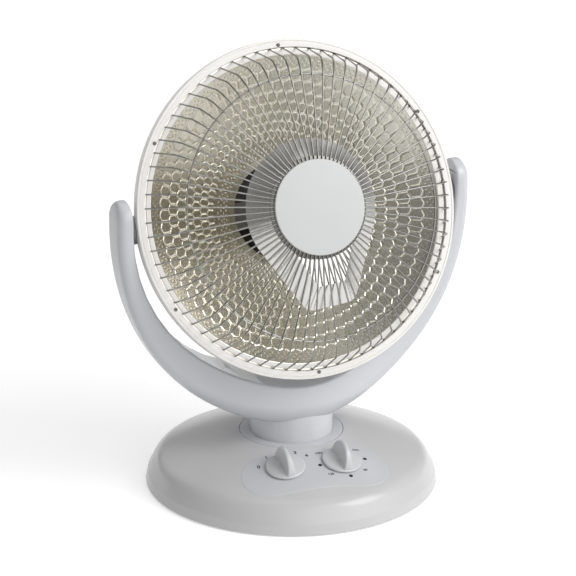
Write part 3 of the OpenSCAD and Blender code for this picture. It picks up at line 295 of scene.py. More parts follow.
def turned(points, angle):
    """Points turned about the Z axis."""
    c, s = cos(angle), sin(angle)
    return points @ np.array([[c, s, 0], [-s, c, 0], [0, 0, 1]])


def on_dome(points, lift):
    """Flat points laid on the dome at a lift above it, then turned with the controls."""
    z = dome_z(np.hypot(points[..., 0], points[..., 1])) + lift
    return turned(np.stack([points[..., 0], points[..., 1], z], -1), CONTROL_TURN)


straight = PANEL_REACH - PANEL_HALF
sweep = np.linspace(-pi / 2, pi / 2, 60)
right_end = np.stack([straight + PANEL_HALF * np.cos(sweep), PANEL_HALF * np.sin(sweep)], 1)
left_end = np.stack([-straight - PANEL_HALF * np.cos(sweep), -PANEL_HALF * np.sin(sweep)], 1)
edge_x = np.linspace(-straight, straight, 40)[1:-1]
oval = np.concatenate([right_end, np.stack([edge_x[::-1], np.full(38, PANEL_HALF)], 1), left_end,
                       np.stack([edge_x, np.full(38, -PANEL_HALF)], 1)])
spine = np.clip(oval[:, :1], -straight, straight) * [1, 0]
inset = oval - spine
# From the buried foot of the plate's edge, over its rounded corner, to the spine in its middle.
steps_in = [(0, -1.2), (0, 0.05), (0.06, 0.18), (0.2, 0.27), (0.45, PROUD)] + [
    (PANEL_HALF * f, PROUD) for f in np.linspace(0.06, 1, 18)]
rows = np.stack([on_dome(spine + inset * (1 - d / PANEL_HALF) + [0, -PANEL_FRONT], lift)
                 for d, lift in steps_in])
panel_abs = plain_finish("control_panel_abs_moulded", "#D8D9DC", shine=0.2)
fit(object_from("control_panel_oval", [net(rows)]), "base", panel_abs, "control_panel", "control_panel")

knob_at = sqrt(KNOB_HALF ** 2 + KNOB_FRONT ** 2)


def knob_matrix(side):
    """A knob's frame: its middle on the dome, its Z axis square to the dome, its Y axis towards the neck."""
    heading = atan2(-KNOB_FRONT, side * KNOB_HALF)
    foot = Matrix.Translation((side * KNOB_HALF, -KNOB_FRONT, float(dome_z(knob_at))))
    return (Matrix.Rotation(CONTROL_TURN, 4, "Z") @ foot @ Matrix.Rotation(heading, 4, "Z")
            @ Matrix.Rotation(np.arcsin(knob_at / DOME_R), 4, "Y") @ Matrix.Rotation(-heading, 4, "Z"))


def moved(points, matrix):
    """Points in millimetres put through a 4x4 matrix."""
    m = np.array(matrix)
    return points @ m[:3, :3].T + m[:3, 3]


def printed_dot(centre, radius):
    """A thin round dot in a knob's flat frame: a low revolve with a rounded edge."""
    flat = revolve([(0, 0.03), (radius * 0.9, 0.03), (radius, 0.0), (radius, -0.2), (0, -0.2)], 20)
    points, quads = net(flat + np.array([centre[0], centre[1], 0]))
    return points, [tuple(q) for q in quads]


def numeral(text, centre, size):
    """Outline numerals as a thin mesh: (vertices, polygons) about a centre, in a knob's flat frame."""
    curve = bpy.data.curves.new("numeral", "FONT")
    curve.body = text
    curve.size = size
    curve.offset = 0.03 * size
    curve.align_x = "CENTER"
    curve.align_y = "CENTER"
    curve.extrude = 0.1
    holder = bpy.data.objects.new("numeral", curve)
    bpy.context.scene.collection.objects.link(holder)
    bpy.context.view_layer.update()
    mesh = bpy.data.meshes.new_from_object(holder)
    points = np.zeros(len(mesh.vertices) * 3)
    mesh.vertices.foreach_get("co", points)
    points = points.reshape(-1, 3) + np.array([centre[0], centre[1], -0.07])
    polygons = [tuple(p.vertices) for p in mesh.polygons]
    bpy.data.objects.remove(holder)
    return points, polygons


def print_on(name, side, marks, material):
    """One piece of print round a knob: its flat points drop onto the panel, by its lift less the sag."""
    points, polygons, count = [], [], 0
    for made, faces in marks:
        sag = DOME_R - np.sqrt(DOME_R ** 2 - made[:, 0] ** 2 - made[:, 1] ** 2)
        made = made + np.stack([0 * sag, 0 * sag, PROUD - sag], 1)
        points.append(moved(made, knob_matrix(side)))
        polygons += [tuple(i + count for i in face) for face in faces]
        count += len(made)
    mesh = bpy.data.meshes.new(name)
    mesh.from_pydata(np.concatenate(points) * MM, [], polygons)
    work = bmesh.new()
    work.from_mesh(mesh)
    bmesh.ops.remove_doubles(work, verts=work.verts, dist=1e-6)
    bmesh.ops.recalc_face_normals(work, faces=work.faces)
    work.to_mesh(mesh)
    work.free()
    made = bpy.data.objects.new(name, mesh)
    bpy.context.scene.collection.objects.link(made)
    return fit(made, "base", material, "control_panel")


def spot(angle, radius):
    """A place round a knob, by its angle from the panel's right."""
    return radius * cos(radians(angle)), radius * sin(radians(angle))


# Pad print: nearly black and dull, a little uneven where the ink is thin, in specks coarse enough to show.
ink, tree = blank("black_pad_print")
where = add(tree, "ShaderNodeTexCoord")
wear = add(tree, "ShaderNodeTexNoise", {"Vector": where.outputs["Object"], "Scale": 1000 / 0.6,
                                        "Detail": 3.0})
tone = add(tree, "ShaderNodeMix", {"Factor": wear.outputs["Fac"], 6: colour("#0E0E10"),
                                   7: colour("#1E1E22")}, data_type="RGBA")
skin = add(tree, "ShaderNodeBsdfPrincipled", {"Base Color": tone.outputs[2], "Roughness": 0.45})
add(tree, "ShaderNodeOutputMaterial", {"Surface": skin.outputs[0]})

power_marks = [numeral(str(i), spot(a, r), 6.4) for i, (a, r) in enumerate(
    ((158.8, 27.2), (121.6, 26.7), (94.0, 25.0), (53.6, 27.0), (28.6, 29.4)))]
print_on("power_dial_print", -1, power_marks, ink)
timer_marks = [numeral(text, spot(a, r), 4.4) for text, a, r in (
    ("OFF", 140.5, 25.0), ("120", 229.8, 25.2), ("60", 326.6, 25.8), ("ON", 43.4, 28.6))]
timer_marks += [printed_dot(spot(a, r), 2.1) for a, r in ((189.6, 23.8), (278.7, 23.8), (8.9, 26.6))]
print_on("timer_dial_print", 1, timer_marks, ink)

# ---------------------------------------------------------------------------
# Knobs: ABS, each moulded in one piece. A low round skirt carries a thin upright
# fin, an arch in side view, which is the pointer as well as the grip.
KNOB_R, KNOB_LOW, GRIP_H, GRIP_T, KNOB_TURN, SPINDLE_REACH = 20.2, 0.8, 22.6, 8.0, radians(5), 9.0
knob_abs = plain_finish("knob_abs_moulded", "#DADBDD", shine=0.24)
skirt = rounded([(0, KNOB_LOW + 0.6), (KNOB_R - 2, KNOB_LOW + 0.6), (KNOB_R - 1.6, KNOB_LOW),
                 (KNOB_R - 0.3, KNOB_LOW), (KNOB_R, KNOB_LOW + 1.6), (KNOB_R - 1.2, KNOB_LOW + 2.7),
                 (9, KNOB_LOW + 3.9), (0, KNOB_LOW + 4.0)], [0.2, 0.2, 0.3, 0.8, 0.8, 3])
grip_r = ((KNOB_R - 1.2) ** 2 + (GRIP_H - 3) ** 2) / (2 * (GRIP_H - 3))


def fin():
    """The grip: an arch's outline drawn in towards its foot by a share for each row. Its half width follows
    the height, swells softly into the skirt, and is cut back by a quarter circle at the arch's edge."""
    edge, foot, swell, fade = 1.5, KNOB_LOW + 1.8, 1.5, 1.3
    arch = np.linspace(0, pi, 72)
    across = np.linspace(-1, 1, 20)[1:-1]
    y = np.concatenate([grip_r * np.cos(arch), grip_r * across])
    z = np.concatenate([GRIP_H - grip_r + grip_r * np.sin(arch), np.full(18, foot)])
    over = np.linspace(pi / 2, 0, 6)
    share = np.concatenate([np.linspace(0, 1, 12)[1:-1] * (1 - edge / grip_r),
                            1 - edge / grip_r * (1 - np.cos(over))])
    cut = np.concatenate([np.zeros(10), edge * (1 - np.sin(over))])
    y = share[:, None] * y
    z = foot + share[:, None] * (z - foot)
    half = GRIP_T * np.interp(z, [KNOB_LOW + 0.4, SPINDLE_REACH, GRIP_H - 1, GRIP_H], [0.5, 0.46, 0.3, 0.2])
    half = half + swell * np.exp(-np.maximum(z - KNOB_LOW - 2.4, 0) / fade) - cut[:, None]
    near, far = np.stack([half, y, z], -1), np.stack([-half, y, z], -1)
    return turned(np.concatenate([near, far[::-1]]), KNOB_TURN)


def closed(rows):
    """Rows with their first and last ones drawn together to a point, which closes the ends."""
    first = np.repeat(rows[:1].mean(1, keepdims=True), rows.shape[1], 1)
    last = np.repeat(rows[-1:].mean(1, keepdims=True), rows.shape[1], 1)
    return np.concatenate([first, rows, last])


for side, name, node in ((-1, "power_knob_fin", "power_knob"), (1, "timer_knob_fin", "timer_knob")):
    parts = [net(moved(rows, knob_matrix(side))) for rows in (revolve(skirt, 128), closed(fin()))]
    fit(object_from(name, parts), node, knob_abs, node, node)

# ---------------------------------------------------------------------------
# Neck: one ABS moulding. Its flange is the turntable, which lies in the dome's
# seat with a thin dark gap round it, and the column goes up into the yoke.
NECK_R, TURNTABLE_R, TURNTABLE_Z, NECK_TOP, SPIGOT_R, SPIGOT_Z = 42.4, 53.0, 52.76, 86.0, 15.0, 42.15
FOOT_GROOVE = 0.6
turntable_top = recess_edge + 0.2
stand_abs = plain_finish("stand_abs_moulded", "#D7D8DC")
column = rounded([(0, TURNTABLE_Z), (TURNTABLE_R, TURNTABLE_Z), (TURNTABLE_R, turntable_top),
                  (NECK_R + FOOT_GROOVE + 0.2, turntable_top + 0.3),
                  (NECK_R + FOOT_GROOVE, turntable_top + 0.3 - FOOT_GROOVE),
                  (NECK_R, turntable_top + 0.3 - FOOT_GROOVE), (NECK_R, NECK_TOP), (0, NECK_TOP)],
                 [0.2, 0.5, 0.15, 0.05, 0.05, 0.5])
spigot = [(0, SPIGOT_Z), (SPIGOT_R, SPIGOT_Z), (SPIGOT_R, TURNTABLE_Z + 0.5), (0, TURNTABLE_Z + 0.5)]
fit(object_from("neck_turntable", [net(revolve(column, 192)), net(revolve(spigot, 48))]),
    "stand", stand_abs, "neck", "neck")

# ---------------------------------------------------------------------------
# Yoke: a hollow U of moulded ABS. Its section grows from slim round-tipped arms
# to a broad, softly rounded keel over the neck; a strip closes it on the inside.
PIVOT_Z, YOKE_IN, ARM_OUT, YOKE_OUT = 292.0, 174.5, 190.0, 219.0
ARM_W, BOWL_W, ARM_ROUND, BOWL_ROUND, LIP_ROUND = 38.0, 94.0, 9.0, 24.0, 3.0
ARM_RISE, ARM_WALL, COVER_T = 13.0, 3.0, 2.4
TIP_R = ARM_W / 2
cover_end = ARM_RISE + TIP_R * 0.4


def arc(cx, cy, r, start, end, steps):
    """Points of an arc in degrees, for arrays of centres and radii: rows of (steps, 2)."""
    a = np.radians(np.linspace(start, end, steps))
    return np.stack([cx[:, None] + r[:, None] * np.cos(a), cy[:, None] + r[:, None] * np.sin(a)], -1)


def yoke_shape(t, drop):
    """(depth, outer radius, outer and inner rounding) at t radians from straight down. Drop goes from 0 to 1
    over a tip. Depth and radius swell with powers of the cosine."""
    w = np.maximum((ARM_W + (BOWL_W - ARM_W) * np.cos(t) ** 10) * (1 - drop), 0.6)
    out = ARM_OUT + (YOKE_OUT - ARM_OUT) * np.cos(t) ** 2 - 6 * drop
    edge = (ARM_ROUND + (BOWL_ROUND - ARM_ROUND) * np.cos(t) ** 4) * (1 - 0.5 * drop)
    return w, out, np.minimum(edge, w / 2 - 0.05), np.minimum(LIP_ROUND, w / 2 - 0.1)


def stations(step, tip):
    """(angle, rise, drop) along the right half: round to the tilt axis, straight up, then over the tip."""
    angles = np.radians(np.arange(0, 90 + 1e-6, step))
    rise = np.linspace(0, ARM_RISE, 4)[1:]
    over = np.radians(np.linspace(0, 88, tip))[1:]
    t = np.concatenate([angles, np.full(len(rise) + len(over), pi / 2)])
    up = np.concatenate([0 * angles, rise, ARM_RISE + TIP_R * np.sin(over)])
    drop = np.concatenate([0 * angles, 0 * rise, 1 - np.cos(over)])
    return t, up, drop


def placed(section, t, up, side):
    """Sections of (radius, depth) set about the tilt axis at their angles, on one side."""
    r, y = section[..., 0], section[..., 1]
    return np.stack([side * r * np.sin(t)[:, None], y, PIVOT_Z + up[:, None] - r * np.cos(t)[:, None]], -1)


def yoke_skin():
    """The shell: a rounded box section with a shallow seat for the strip in its inner face, along the U."""
    t, up, drop = stations(1.5, 14)
    w, out, edge, lip = yoke_shape(t, drop)
    inner = YOKE_IN + 2.5 * drop
    seat = np.where((up <= cover_end) & (drop < 0.5), COVER_T + 0.25, 0.0)
    half = np.maximum(w / 2 - ARM_WALL, 0.05)
    line = np.concatenate([
        arc(out - edge, w / 2 - edge, edge, 0, 90, 14), arc(inner + lip, w / 2 - lip, lip, 90, 180, 7),
        np.stack([inner, half], -1)[:, None], np.stack([inner + seat, half], -1)[:, None],
        np.stack([inner + seat, -half], -1)[:, None], np.stack([inner, -half], -1)[:, None],
        arc(inner + lip, lip - w / 2, lip, 180, 270, 7),
        arc(out - edge, edge - w / 2, edge, 270, 360, 14)], 1)
    right = placed(line, t, up, 1)
    left = placed(line, t, up, -1)
    return closed(np.concatenate([left[:0:-1], right]))


fit(object_from("yoke_u_shell", [net(yoke_skin())]), "stand", stand_abs, "yoke_shell", "yoke_shell")

# ---------------------------------------------------------------------------
# Front ring: white enamelled sheet steel. It holds the guard's feet, is turned
# back over the housing, and has a fine rolled groove near its edge.
HEAD_TILT, RIM_AHEAD = radians(19), 19.0
RING_R, RING_IN, RING_T, RING_DEPTH, RING_WALL = 170.3, 161.8, 2.0, 9.5, 2.0
# The dish's own frame: z runs out of the dish from the rim's face, y up along it.
dish = (Matrix.Translation((0, 0, PIVOT_Z)) @ Matrix.Rotation(pi / 2 - HEAD_TILT, 4, "X")
        @ Matrix.Translation((0, 0, RIM_AHEAD)))
# Fired enamel: whiter and glossier than the ABS, with a slow ripple in its surface.
enamel = plain_finish("front_ring_white_enamel", "#FAF8F4", shine=0.16, grain=2.2)
ring_line = rounded([(RING_IN, -RING_T), (RING_IN, 0), (RING_R - 3.3, 0), (RING_R - 3.0, -0.6),
                     (RING_R - 2.6, -0.6), (RING_R - 2.2, 0.25), (RING_R, 0.15), (RING_R, -RING_DEPTH),
                     (RING_R - RING_WALL, -RING_DEPTH), (RING_R - RING_WALL, -RING_T), (RING_IN, -RING_T)],
                    [0.5, 0.12, 0.12, 0.12, 0.12, 1.0, 0.4, 0.3, 0.3])
fit(object_from("front_ring_enamelled", [net(moved(revolve(ring_line, 288), dish))]), "head", enamel,
    "front_ring", "front_ring")

# Inner ring: the same enamelled steel, flat, between the bowl and the guard's feet.
INNER_R, BOWL_R, FLANGE = 159.6, 154.5, 3.7
flat_line = rounded([(BOWL_R + 0.2, -FLANGE), (BOWL_R + 0.2, -FLANGE + 1), (INNER_R, -FLANGE + 1),
                     (INNER_R, -FLANGE), (BOWL_R + 0.2, -FLANGE)], [0.35, 0.35, 0.05])
fit(object_from("inner_ring_enamelled", [net(moved(revolve(flat_line, 288), dish))]), "head", enamel,
    "inner_ring", "inner_ring")

# ---------------------------------------------------------------------------
# Reflector: aluminium sheet, brightened and warm-toned, pressed into a parabola.
# Rings of six-sided pads are embossed in it, with small pits inside and outside them.
FOCAL, HUB_FLAT, HUB_HOLE, SHEET = 105.75, 56.0, 49.0, 0.8
CELLS, CELL_ROWS, ROW_FROM, ROW_STEP, CELL_TURN = 72, 7, 11.66, 0.485, radians(0.5)
PAD_OUT, PAD_MIDDLE, PAD_IN, PAD_HEIGHT, PAD_WALL = 143.3, 109.2, 71.2, 0.6, 0.22


def bowl_z(r):
    """Depth of the parabola at radius r: (R^2 - r^2) over four focal lengths, below its flange."""
    return -FLANGE - (BOWL_R ** 2 - r ** 2) / (4 * FOCAL)


def smooth(x):
    """The cubic step from 0 to 1."""
    x = np.clip(x, 0, 1)
    return x * x * (3 - 2 * x)


def pad_relief(radius, angle):
    """Six-sided flat pads in staggered rows that narrow inwards, as the radius' square root. The distances to
    the two nearest middles differ by 0 on a border, and the height steps up with that difference."""
    row = (ROW_FROM - np.sqrt(radius)) / ROW_STEP
    column = (angle - CELL_TURN) / (2 * pi) * CELLS
    nearest, second, owner = np.full(row.shape, 9.0), np.full(row.shape, 9.0), np.zeros(row.shape)
    for k in (-1, 0, 1, 2):
        middle = np.floor(row) + k
        shift = 0.5 * (middle % 2)
        beside = np.round(column - shift) + shift
        for m in (-1, 0, 1):
            d = np.hypot(row - middle, column - beside - m)
            second = np.minimum(second, np.maximum(nearest, d))
            owner = np.where(d < nearest, middle, owner)
            nearest = np.minimum(nearest, d)
    return PAD_HEIGHT * smooth((second - nearest) / PAD_WALL) * ((owner >= 0) & (owner < CELL_ROWS))


def pits(radius, angle, rows, count, size):
    """Round pits, count to a row and staggered: a cubic bell over the distance to the nearest middle."""
    pitch = 2 * pi / count
    depth = 0 * radius
    for k, r in enumerate(rows):
        beside = ((angle - CELL_TURN) / pitch + 0.5 * (k % 2) + 0.5) % 1 - 0.5
        depth = np.maximum(depth, smooth(1 - np.hypot(radius - r, r * pitch * beside) / size))
    return 0.4 * depth


def zone(outer, inner, rows, columns, relief):
    """A ring-shaped part of the bowl: its embossed front, closed by a plain back a sheet's thickness away."""
    radius, angle = np.meshgrid(np.linspace(outer, inner, rows),
                                np.linspace(0, 2 * pi, columns, endpoint=False), indexing="ij")
    z = np.where(radius <= BOWL_R, bowl_z(np.maximum(radius, HUB_FLAT)), -FLANGE)
    front = np.stack([radius * np.cos(angle), radius * np.sin(angle), z + relief(radius, angle)], -1)
    keep = np.linspace(rows - 1, 0, 3).round().astype(int)
    back = np.concatenate([front[keep, :, :2], z[keep, :, None] - SHEET], -1)
    return [net(moved(np.concatenate([front, back]), dish), round_columns=True)]


# Bright-rolled aluminium: a warm, soft mirror with wide patches of haze, and a grit that is drawn
# coarser than the real one, so that it shows.
bright, tree = blank("reflector_bright_aluminium_embossed")
where = add(tree, "ShaderNodeTexCoord")
haze = add(tree, "ShaderNodeTexNoise", {"Vector": where.outputs["Object"], "Scale": 1000 / 30,
                                        "Detail": 3.0})
tone = add(tree, "ShaderNodeMix", {"Factor": haze.outputs["Fac"], 6: colour("#EBE7DB"),
                                   7: colour("#DBD7CB")}, data_type="RGBA")
grit = add(tree, "ShaderNodeTexNoise", {"Vector": where.outputs["Object"], "Scale": 1000 / 0.8,
                                        "Detail": 2.0})
gloss = add(tree, "ShaderNodeMapRange", {"Value": grit.outputs["Fac"], "To Min": 0.2, "To Max": 0.32})
relief = add(tree, "ShaderNodeBump", {"Height": grit.outputs["Fac"], "Strength": 0.2,
                                      "Distance": 0.03 * MM})
skin = add(tree, "ShaderNodeBsdfPrincipled", {"Base Color": tone.outputs[2], "Metallic": 1.0,
                                              "Roughness": gloss.outputs[0], "Normal": relief.outputs[0]})
add(tree, "ShaderNodeOutputMaterial", {"Surface": skin.outputs[0]})

for name, made in (
        ("reflector_border", zone(161.0, PAD_OUT, 34, 1728,
                                  lambda r, a: -pits(r, a, (151.0, 148.2, 145.4), 144, 1.2))),
        ("reflector_outer_pads", zone(PAD_OUT, PAD_MIDDLE, 60, 1440, pad_relief)),
        ("reflector_inner_pads", zone(PAD_MIDDLE, PAD_IN, 60, 1440, pad_relief)),
        ("reflector_hub", zone(PAD_IN, HUB_HOLE, 50, 1008,
                               lambda r, a: -pits(r, a, (67.4, 64.2, 61.0, 57.9), 72, 1.3)))):
    fit(object_from(name, made, crease=60), "head", bright, "reflector", "reflector")

# ---------------------------------------------------------------------------
# Guard: 72 chrome-plated steel wires. Each foot lies under the front ring, the
# wire rises steeply, bends over and runs in to the plates in the middle.
SPOKES, SPOKE_PHASE, WIRE_R, FOOT_R = 72, radians(3), 0.8, 160.9
LEG_SLOPE, LEG_LEN, BEND_1, MID_SLOPE, BEND_2, CONE_SLOPE, SPOKE_IN = (
    radians(73), 32.0, 12.0, radians(27), 60.0, radians(9), 44.0)
foot_z = -FLANGE + WIRE_R + 0.02


def spoke_line():
    """A wire's middle line in (r, z): foot, leg, two bends that end square to their slopes, the run in."""
    leg_end = np.array([FOOT_R - LEG_LEN * cos(LEG_SLOPE), foot_z + LEG_LEN * sin(LEG_SLOPE)])
    centre_1 = leg_end - BEND_1 * np.array([sin(LEG_SLOPE), cos(LEG_SLOPE)])
    a = np.linspace(LEG_SLOPE, MID_SLOPE, 8)[:, None]
    bend_1 = centre_1 + BEND_1 * np.concatenate([np.sin(a), np.cos(a)], 1)
    centre_2 = bend_1[-1] - BEND_2 * np.array([sin(MID_SLOPE), cos(MID_SLOPE)])
    a = np.linspace(MID_SLOPE, CONE_SLOPE, 8)[:, None]
    bend_2 = centre_2 + BEND_2 * np.concatenate([np.sin(a), np.cos(a)], 1)
    end_z = bend_2[-1, 1] + (bend_2[-1, 0] - SPOKE_IN) * sin(CONE_SLOPE) / cos(CONE_SLOPE)
    foot = rounded([(FOOT_R + 4.6, foot_z), (FOOT_R, foot_z), leg_end], [1.2], 5)[:-1]
    return np.concatenate([foot, bend_1, bend_2[1:], [(SPOKE_IN, end_z)]])


def wire_rows(line, radius, sides=10):
    """A round wire along a line in the (r, z) plane: rings square to its direction, with drawn-in ends."""
    ahead = np.gradient(line, axis=0)
    ahead = ahead / np.linalg.norm(ahead, axis=1, keepdims=True)
    side = np.stack([-ahead[:, 1], ahead[:, 0]], 1)
    a = np.linspace(0, 2 * pi, sides, endpoint=False)
    r = line[:, :1] + radius * side[:, :1] * np.cos(a)
    z = line[:, 1:] + radius * side[:, 1:] * np.cos(a)
    return closed(np.stack([r, np.repeat(radius * np.sin(a)[None], len(line), 0), z], -1))


line = spoke_line()
spoke = wire_rows(line, WIRE_R)
wires = [net(moved(turned(spoke, SPOKE_PHASE + i * 2 * pi / SPOKES), dish)) for i in range(SPOKES)]
# Chrome plate, greyed by heat: small sharp glints on a dark line, paler and darker along the wire.
plated, tree = blank("guard_wire_chrome_plated")
where = add(tree, "ShaderNodeTexCoord")
drawn = add(tree, "ShaderNodeTexNoise", {"Vector": where.outputs["Object"], "Scale": 1000 / 5,
                                         "Detail": 2.0})
tone = add(tree, "ShaderNodeMix", {"Factor": drawn.outputs["Fac"], 6: colour("#A5A4A0"),
                                   7: colour("#7E7D79")}, data_type="RGBA")
skin = add(tree, "ShaderNodeBsdfPrincipled", {"Base Color": tone.outputs[2], "Metallic": 1.0,
                                              "Roughness": 0.14})
add(tree, "ShaderNodeOutputMaterial", {"Surface": skin.outputs[0]})
fit(object_from("guard_wires", wires, crease=60), "head", plated, "grille_spokes", "grille_spokes")

# Hoop: one ring of the same wire, welded behind the others.
HOOP_R, HOOP_WIRE = 132.0, 0.9


def guard_z(r):
    """Height of the wires' middle line at radius r, read off the line."""
    return np.interp(r, line[::-1, 0], line[::-1, 1])


a = np.linspace(0, 2 * pi, 12, endpoint=False)
hoop_z = float(guard_z(HOOP_R)) - WIRE_R - HOOP_WIRE - 0.03
hoop = revolve(np.stack([HOOP_R + HOOP_WIRE * np.cos(a), hoop_z + HOOP_WIRE * np.sin(a)], 1), 288)
fit(object_from("guard_hoop", [net(moved(hoop, dish), round_columns=True)], crease=80), "head", plated,
    "grille_hoop", "grille_hoop")

# ---------------------------------------------------------------------------
# Middle of the guard: a chromed steel plate behind the wires' ends and a plain
# disc in front of them, drawn together by three screws from behind.
DISC_R, DISC_T, CLAMP_R, CLAMP_T = 47.4, 2.8, 51.0, 1.2


def clamp_z(r):
    """Front face of the clamp plate, just behind the wires."""
    return float(guard_z(r)) - WIRE_R / cos(CONE_SLOPE) - 0.03


def chromed(name, tint, dull, wave):
    """Chrome plate on steel: a cool mirror, dulled in clouds by buffing, and wavy by a depth in mm."""
    made, tree = blank(name)
    where = add(tree, "ShaderNodeTexCoord")
    buff = add(tree, "ShaderNodeTexNoise", {"Vector": where.outputs["Object"], "Scale": 1000 / 14,
                                            "Detail": 3.0})
    gloss = add(tree, "ShaderNodeMapRange", {"Value": buff.outputs["Fac"], "To Min": dull - 0.05,
                                             "To Max": dull + 0.05})
    relief = add(tree, "ShaderNodeBump", {"Height": buff.outputs["Fac"], "Strength": 0.15,
                                          "Distance": wave * MM})
    skin = add(tree, "ShaderNodeBsdfPrincipled", {
        "Base Color": colour(tint), "Metallic": 1.0, "Roughness": gloss.outputs[0],
        "Normal": relief.outputs[0]})
    add(tree, "ShaderNodeOutputMaterial", {"Surface": skin.outputs[0]})
    return made


disc_back = float(guard_z(SPOKE_IN)) + WIRE_R / cos(CONE_SLOPE) + 0.04
disc_front = disc_back + DISC_T
plate = rounded([(0, clamp_z(SPOKE_IN)), (SPOKE_IN, clamp_z(SPOKE_IN)), (CLAMP_R, clamp_z(CLAMP_R)),
                 (CLAMP_R, clamp_z(CLAMP_R) - CLAMP_T), (SPOKE_IN, clamp_z(SPOKE_IN) - CLAMP_T),
                 (0, clamp_z(SPOKE_IN) - CLAMP_T)], [1, 0.3, 0.3, 1])
cap = rounded([(0, clamp_z(SPOKE_IN)), (SPOKE_IN - 2, clamp_z(SPOKE_IN)), (SPOKE_IN - 2, disc_back),
               (DISC_R, disc_back), (DISC_R, disc_front), (0, disc_front)], [0.1, 0.1, 0.3, 1.0])
# The clamp plate's dark tint is painted shade for the shadowed slot under the disc; its rougher gloss is
# dulling by heat.
fit(object_from("clamp_plate_chromed", [net(moved(revolve(plate, 144), dish))]), "head",
    chromed("clamp_plate_chrome_dark_painted_shade", "#6E6C68", 0.3, 0.2), "clamp_plate", "clamp_plate")
disc_paint = plain_finish("centre_disc_satin_lacquer", "#D5D6D6", shine=0.38, grain=0.9)
fit(object_from("centre_disc_plain", [net(moved(revolve(cap, 192), dish))]), "head", disc_paint,
    "centre_disc", "centre_disc")

# ---------------------------------------------------------------------------
# Shield: chromed sheet steel before the element, drawn into a shallow cone with
# one lobe below. Its sides flare softly, so they shade from dark to a bright edge.
SHIELD_R, SHIELD_FACE_R, SHIELD_DEPTH, SHIELD_GAP, SHIELD_T = 69.0, 45.0, 13.5, 5.4, 0.8
SHIELD_TURN, SHIELD_FLARE = radians(5), 0.9
LOBE_HALF, LOBE_REACH, LOBE_CORNER = 31.0, 99.5, 13.0
LOBE_FACE_HALF, LOBE_FACE_REACH, FACE_CORNER = 15.0, 77.0, 2.5
shield_front = clamp_z(SPOKE_IN) - CLAMP_T - SHIELD_GAP


def outline(radius, half, reach, corner, turn):
    """The tight line round a disc and the lobe's two corner discs: for each direction, the edge of the disc
    that reaches furthest that way."""
    ahead = np.stack([np.cos(turn), np.sin(turn)], 1)
    middle = np.array([[0, 0], [corner - half, corner - reach], [half - corner, corner - reach]])
    size = np.array([radius, corner, corner])
    owner = np.argmax(ahead @ middle.T + size, 1)
    return middle[owner] + size[owner][:, None] * ahead


def shield_rows(turn):
    """The sheet: from its face's middle over the edge, down the flared side, and back up inside it."""
    face = outline(SHIELD_FACE_R, LOBE_FACE_HALF, LOBE_FACE_REACH, FACE_CORNER, turn)
    foot = outline(SHIELD_R, LOBE_HALF, LOBE_REACH, LOBE_CORNER, turn)
    ahead = np.stack([np.cos(turn), np.sin(turn)], 1)
    down = np.linspace(0, 1, 18)[:, None, None]
    side = face + (foot - face) * down - SHIELD_FLARE * ahead * 4 * down * (1 - down)
    depth = shield_front - SHIELD_DEPTH * np.broadcast_to(down, side.shape[:2] + (1,))
    skin = np.concatenate([side, depth], -1)
    flat = face * np.array([0.5, 0.96, 0.99])[:, None, None]
    top = np.concatenate([flat, np.full(flat.shape[:2] + (1,), shield_front)], -1)
    outer = np.concatenate([top, skin])
    shrink = (SHIELD_R - SHIELD_T) / SHIELD_R
    inner = outer * [shrink, shrink, 1] - [0, 0, SHIELD_T]
    inner[-1, :, 2] = outer[-1, :, 2]
    return closed(np.concatenate([outer, inner[::-1]]))


shield = turned(shield_rows(np.linspace(0, 2 * pi, 720, endpoint=False)), SHIELD_TURN)
polished = chromed("shield_polished_chrome", "#D6D5D1", 0.18, 0.2)
fit(object_from("element_shield_flared", [net(moved(shield, dish))], crease=30), "head", polished,
    "element_shield", "element_shield")


# ---------------------------------------------------------------------------
# Rear housing: enamelled sheet steel, white outside, its inside faces painted near black
# as painted shade. The strip in the yoke is ABS; the tilt bosses are nylon, painted grey as painted shade.
def dressed(node, body, material, bevel=0.0, crease=32):
    """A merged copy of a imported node, smooth up to the crease angle, with a fine bevel where one is given."""
    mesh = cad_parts[node].data.copy()
    mesh.name = node + "_dressed"
    work = bmesh.new()
    work.from_mesh(mesh)
    bmesh.ops.remove_doubles(work, verts=work.verts, dist=1e-6)
    work.to_mesh(mesh)
    work.free()
    mesh.polygons.foreach_set("use_smooth", np.ones(len(mesh.polygons), bool))
    mesh.set_sharp_from_angle(angle=radians(crease))
    made = bpy.data.objects.new(mesh.name, mesh)
    bpy.context.scene.collection.objects.link(made)
    if bevel:
        edge = made.modifiers.new("edge", "BEVEL")
        edge.width = bevel * MM
        edge.segments = 2
        edge.limit_method = "ANGLE"
        edge.angle_limit = radians(crease)
        edge.harden_normals = True
    return fit(made, body, material, node, node)


housing_white = plain_finish("rear_housing_white_enamel", "#E9E8E5", shine=0.28, grain=2.0)
housing = dressed("rear_housing", "head", housing_white, bevel=0.3)
# The second material, near black, is painted shade for the dark inside of the housing.
housing.data.materials.append(plain_finish("rear_housing_inner_painted_shade", "#2B2A28", shine=0.6, grain=1.0))
# The faces that look towards a point inside the housing are its inner ones, and take the near-black painted
# shade.
middles, facing = np.zeros((2, len(housing.data.polygons) * 3))
housing.data.polygons.foreach_get("center", middles)
housing.data.polygons.foreach_get("normal", facing)
heart = np.array(dish @ Vector((0, 0, -25))) * MM
inward = ((middles.reshape(-1, 3) - heart) * facing.reshape(-1, 3)).sum(1) < 0
housing.data.polygons.foreach_set("material_index", inward.astype(np.int32))

dressed("yoke_cover", "stand", stand_abs, bevel=0.4)
# The tilt bosses' mid grey is painted shade: they sit in the shadow between the yoke's arms and the dish.
nylon = plain_finish("tilt_boss_nylon_painted_shade", "#85888B", shine=0.42, grain=0.7, depth=0.05)
dressed("tilt_bosses", "head", nylon, bevel=0.6)

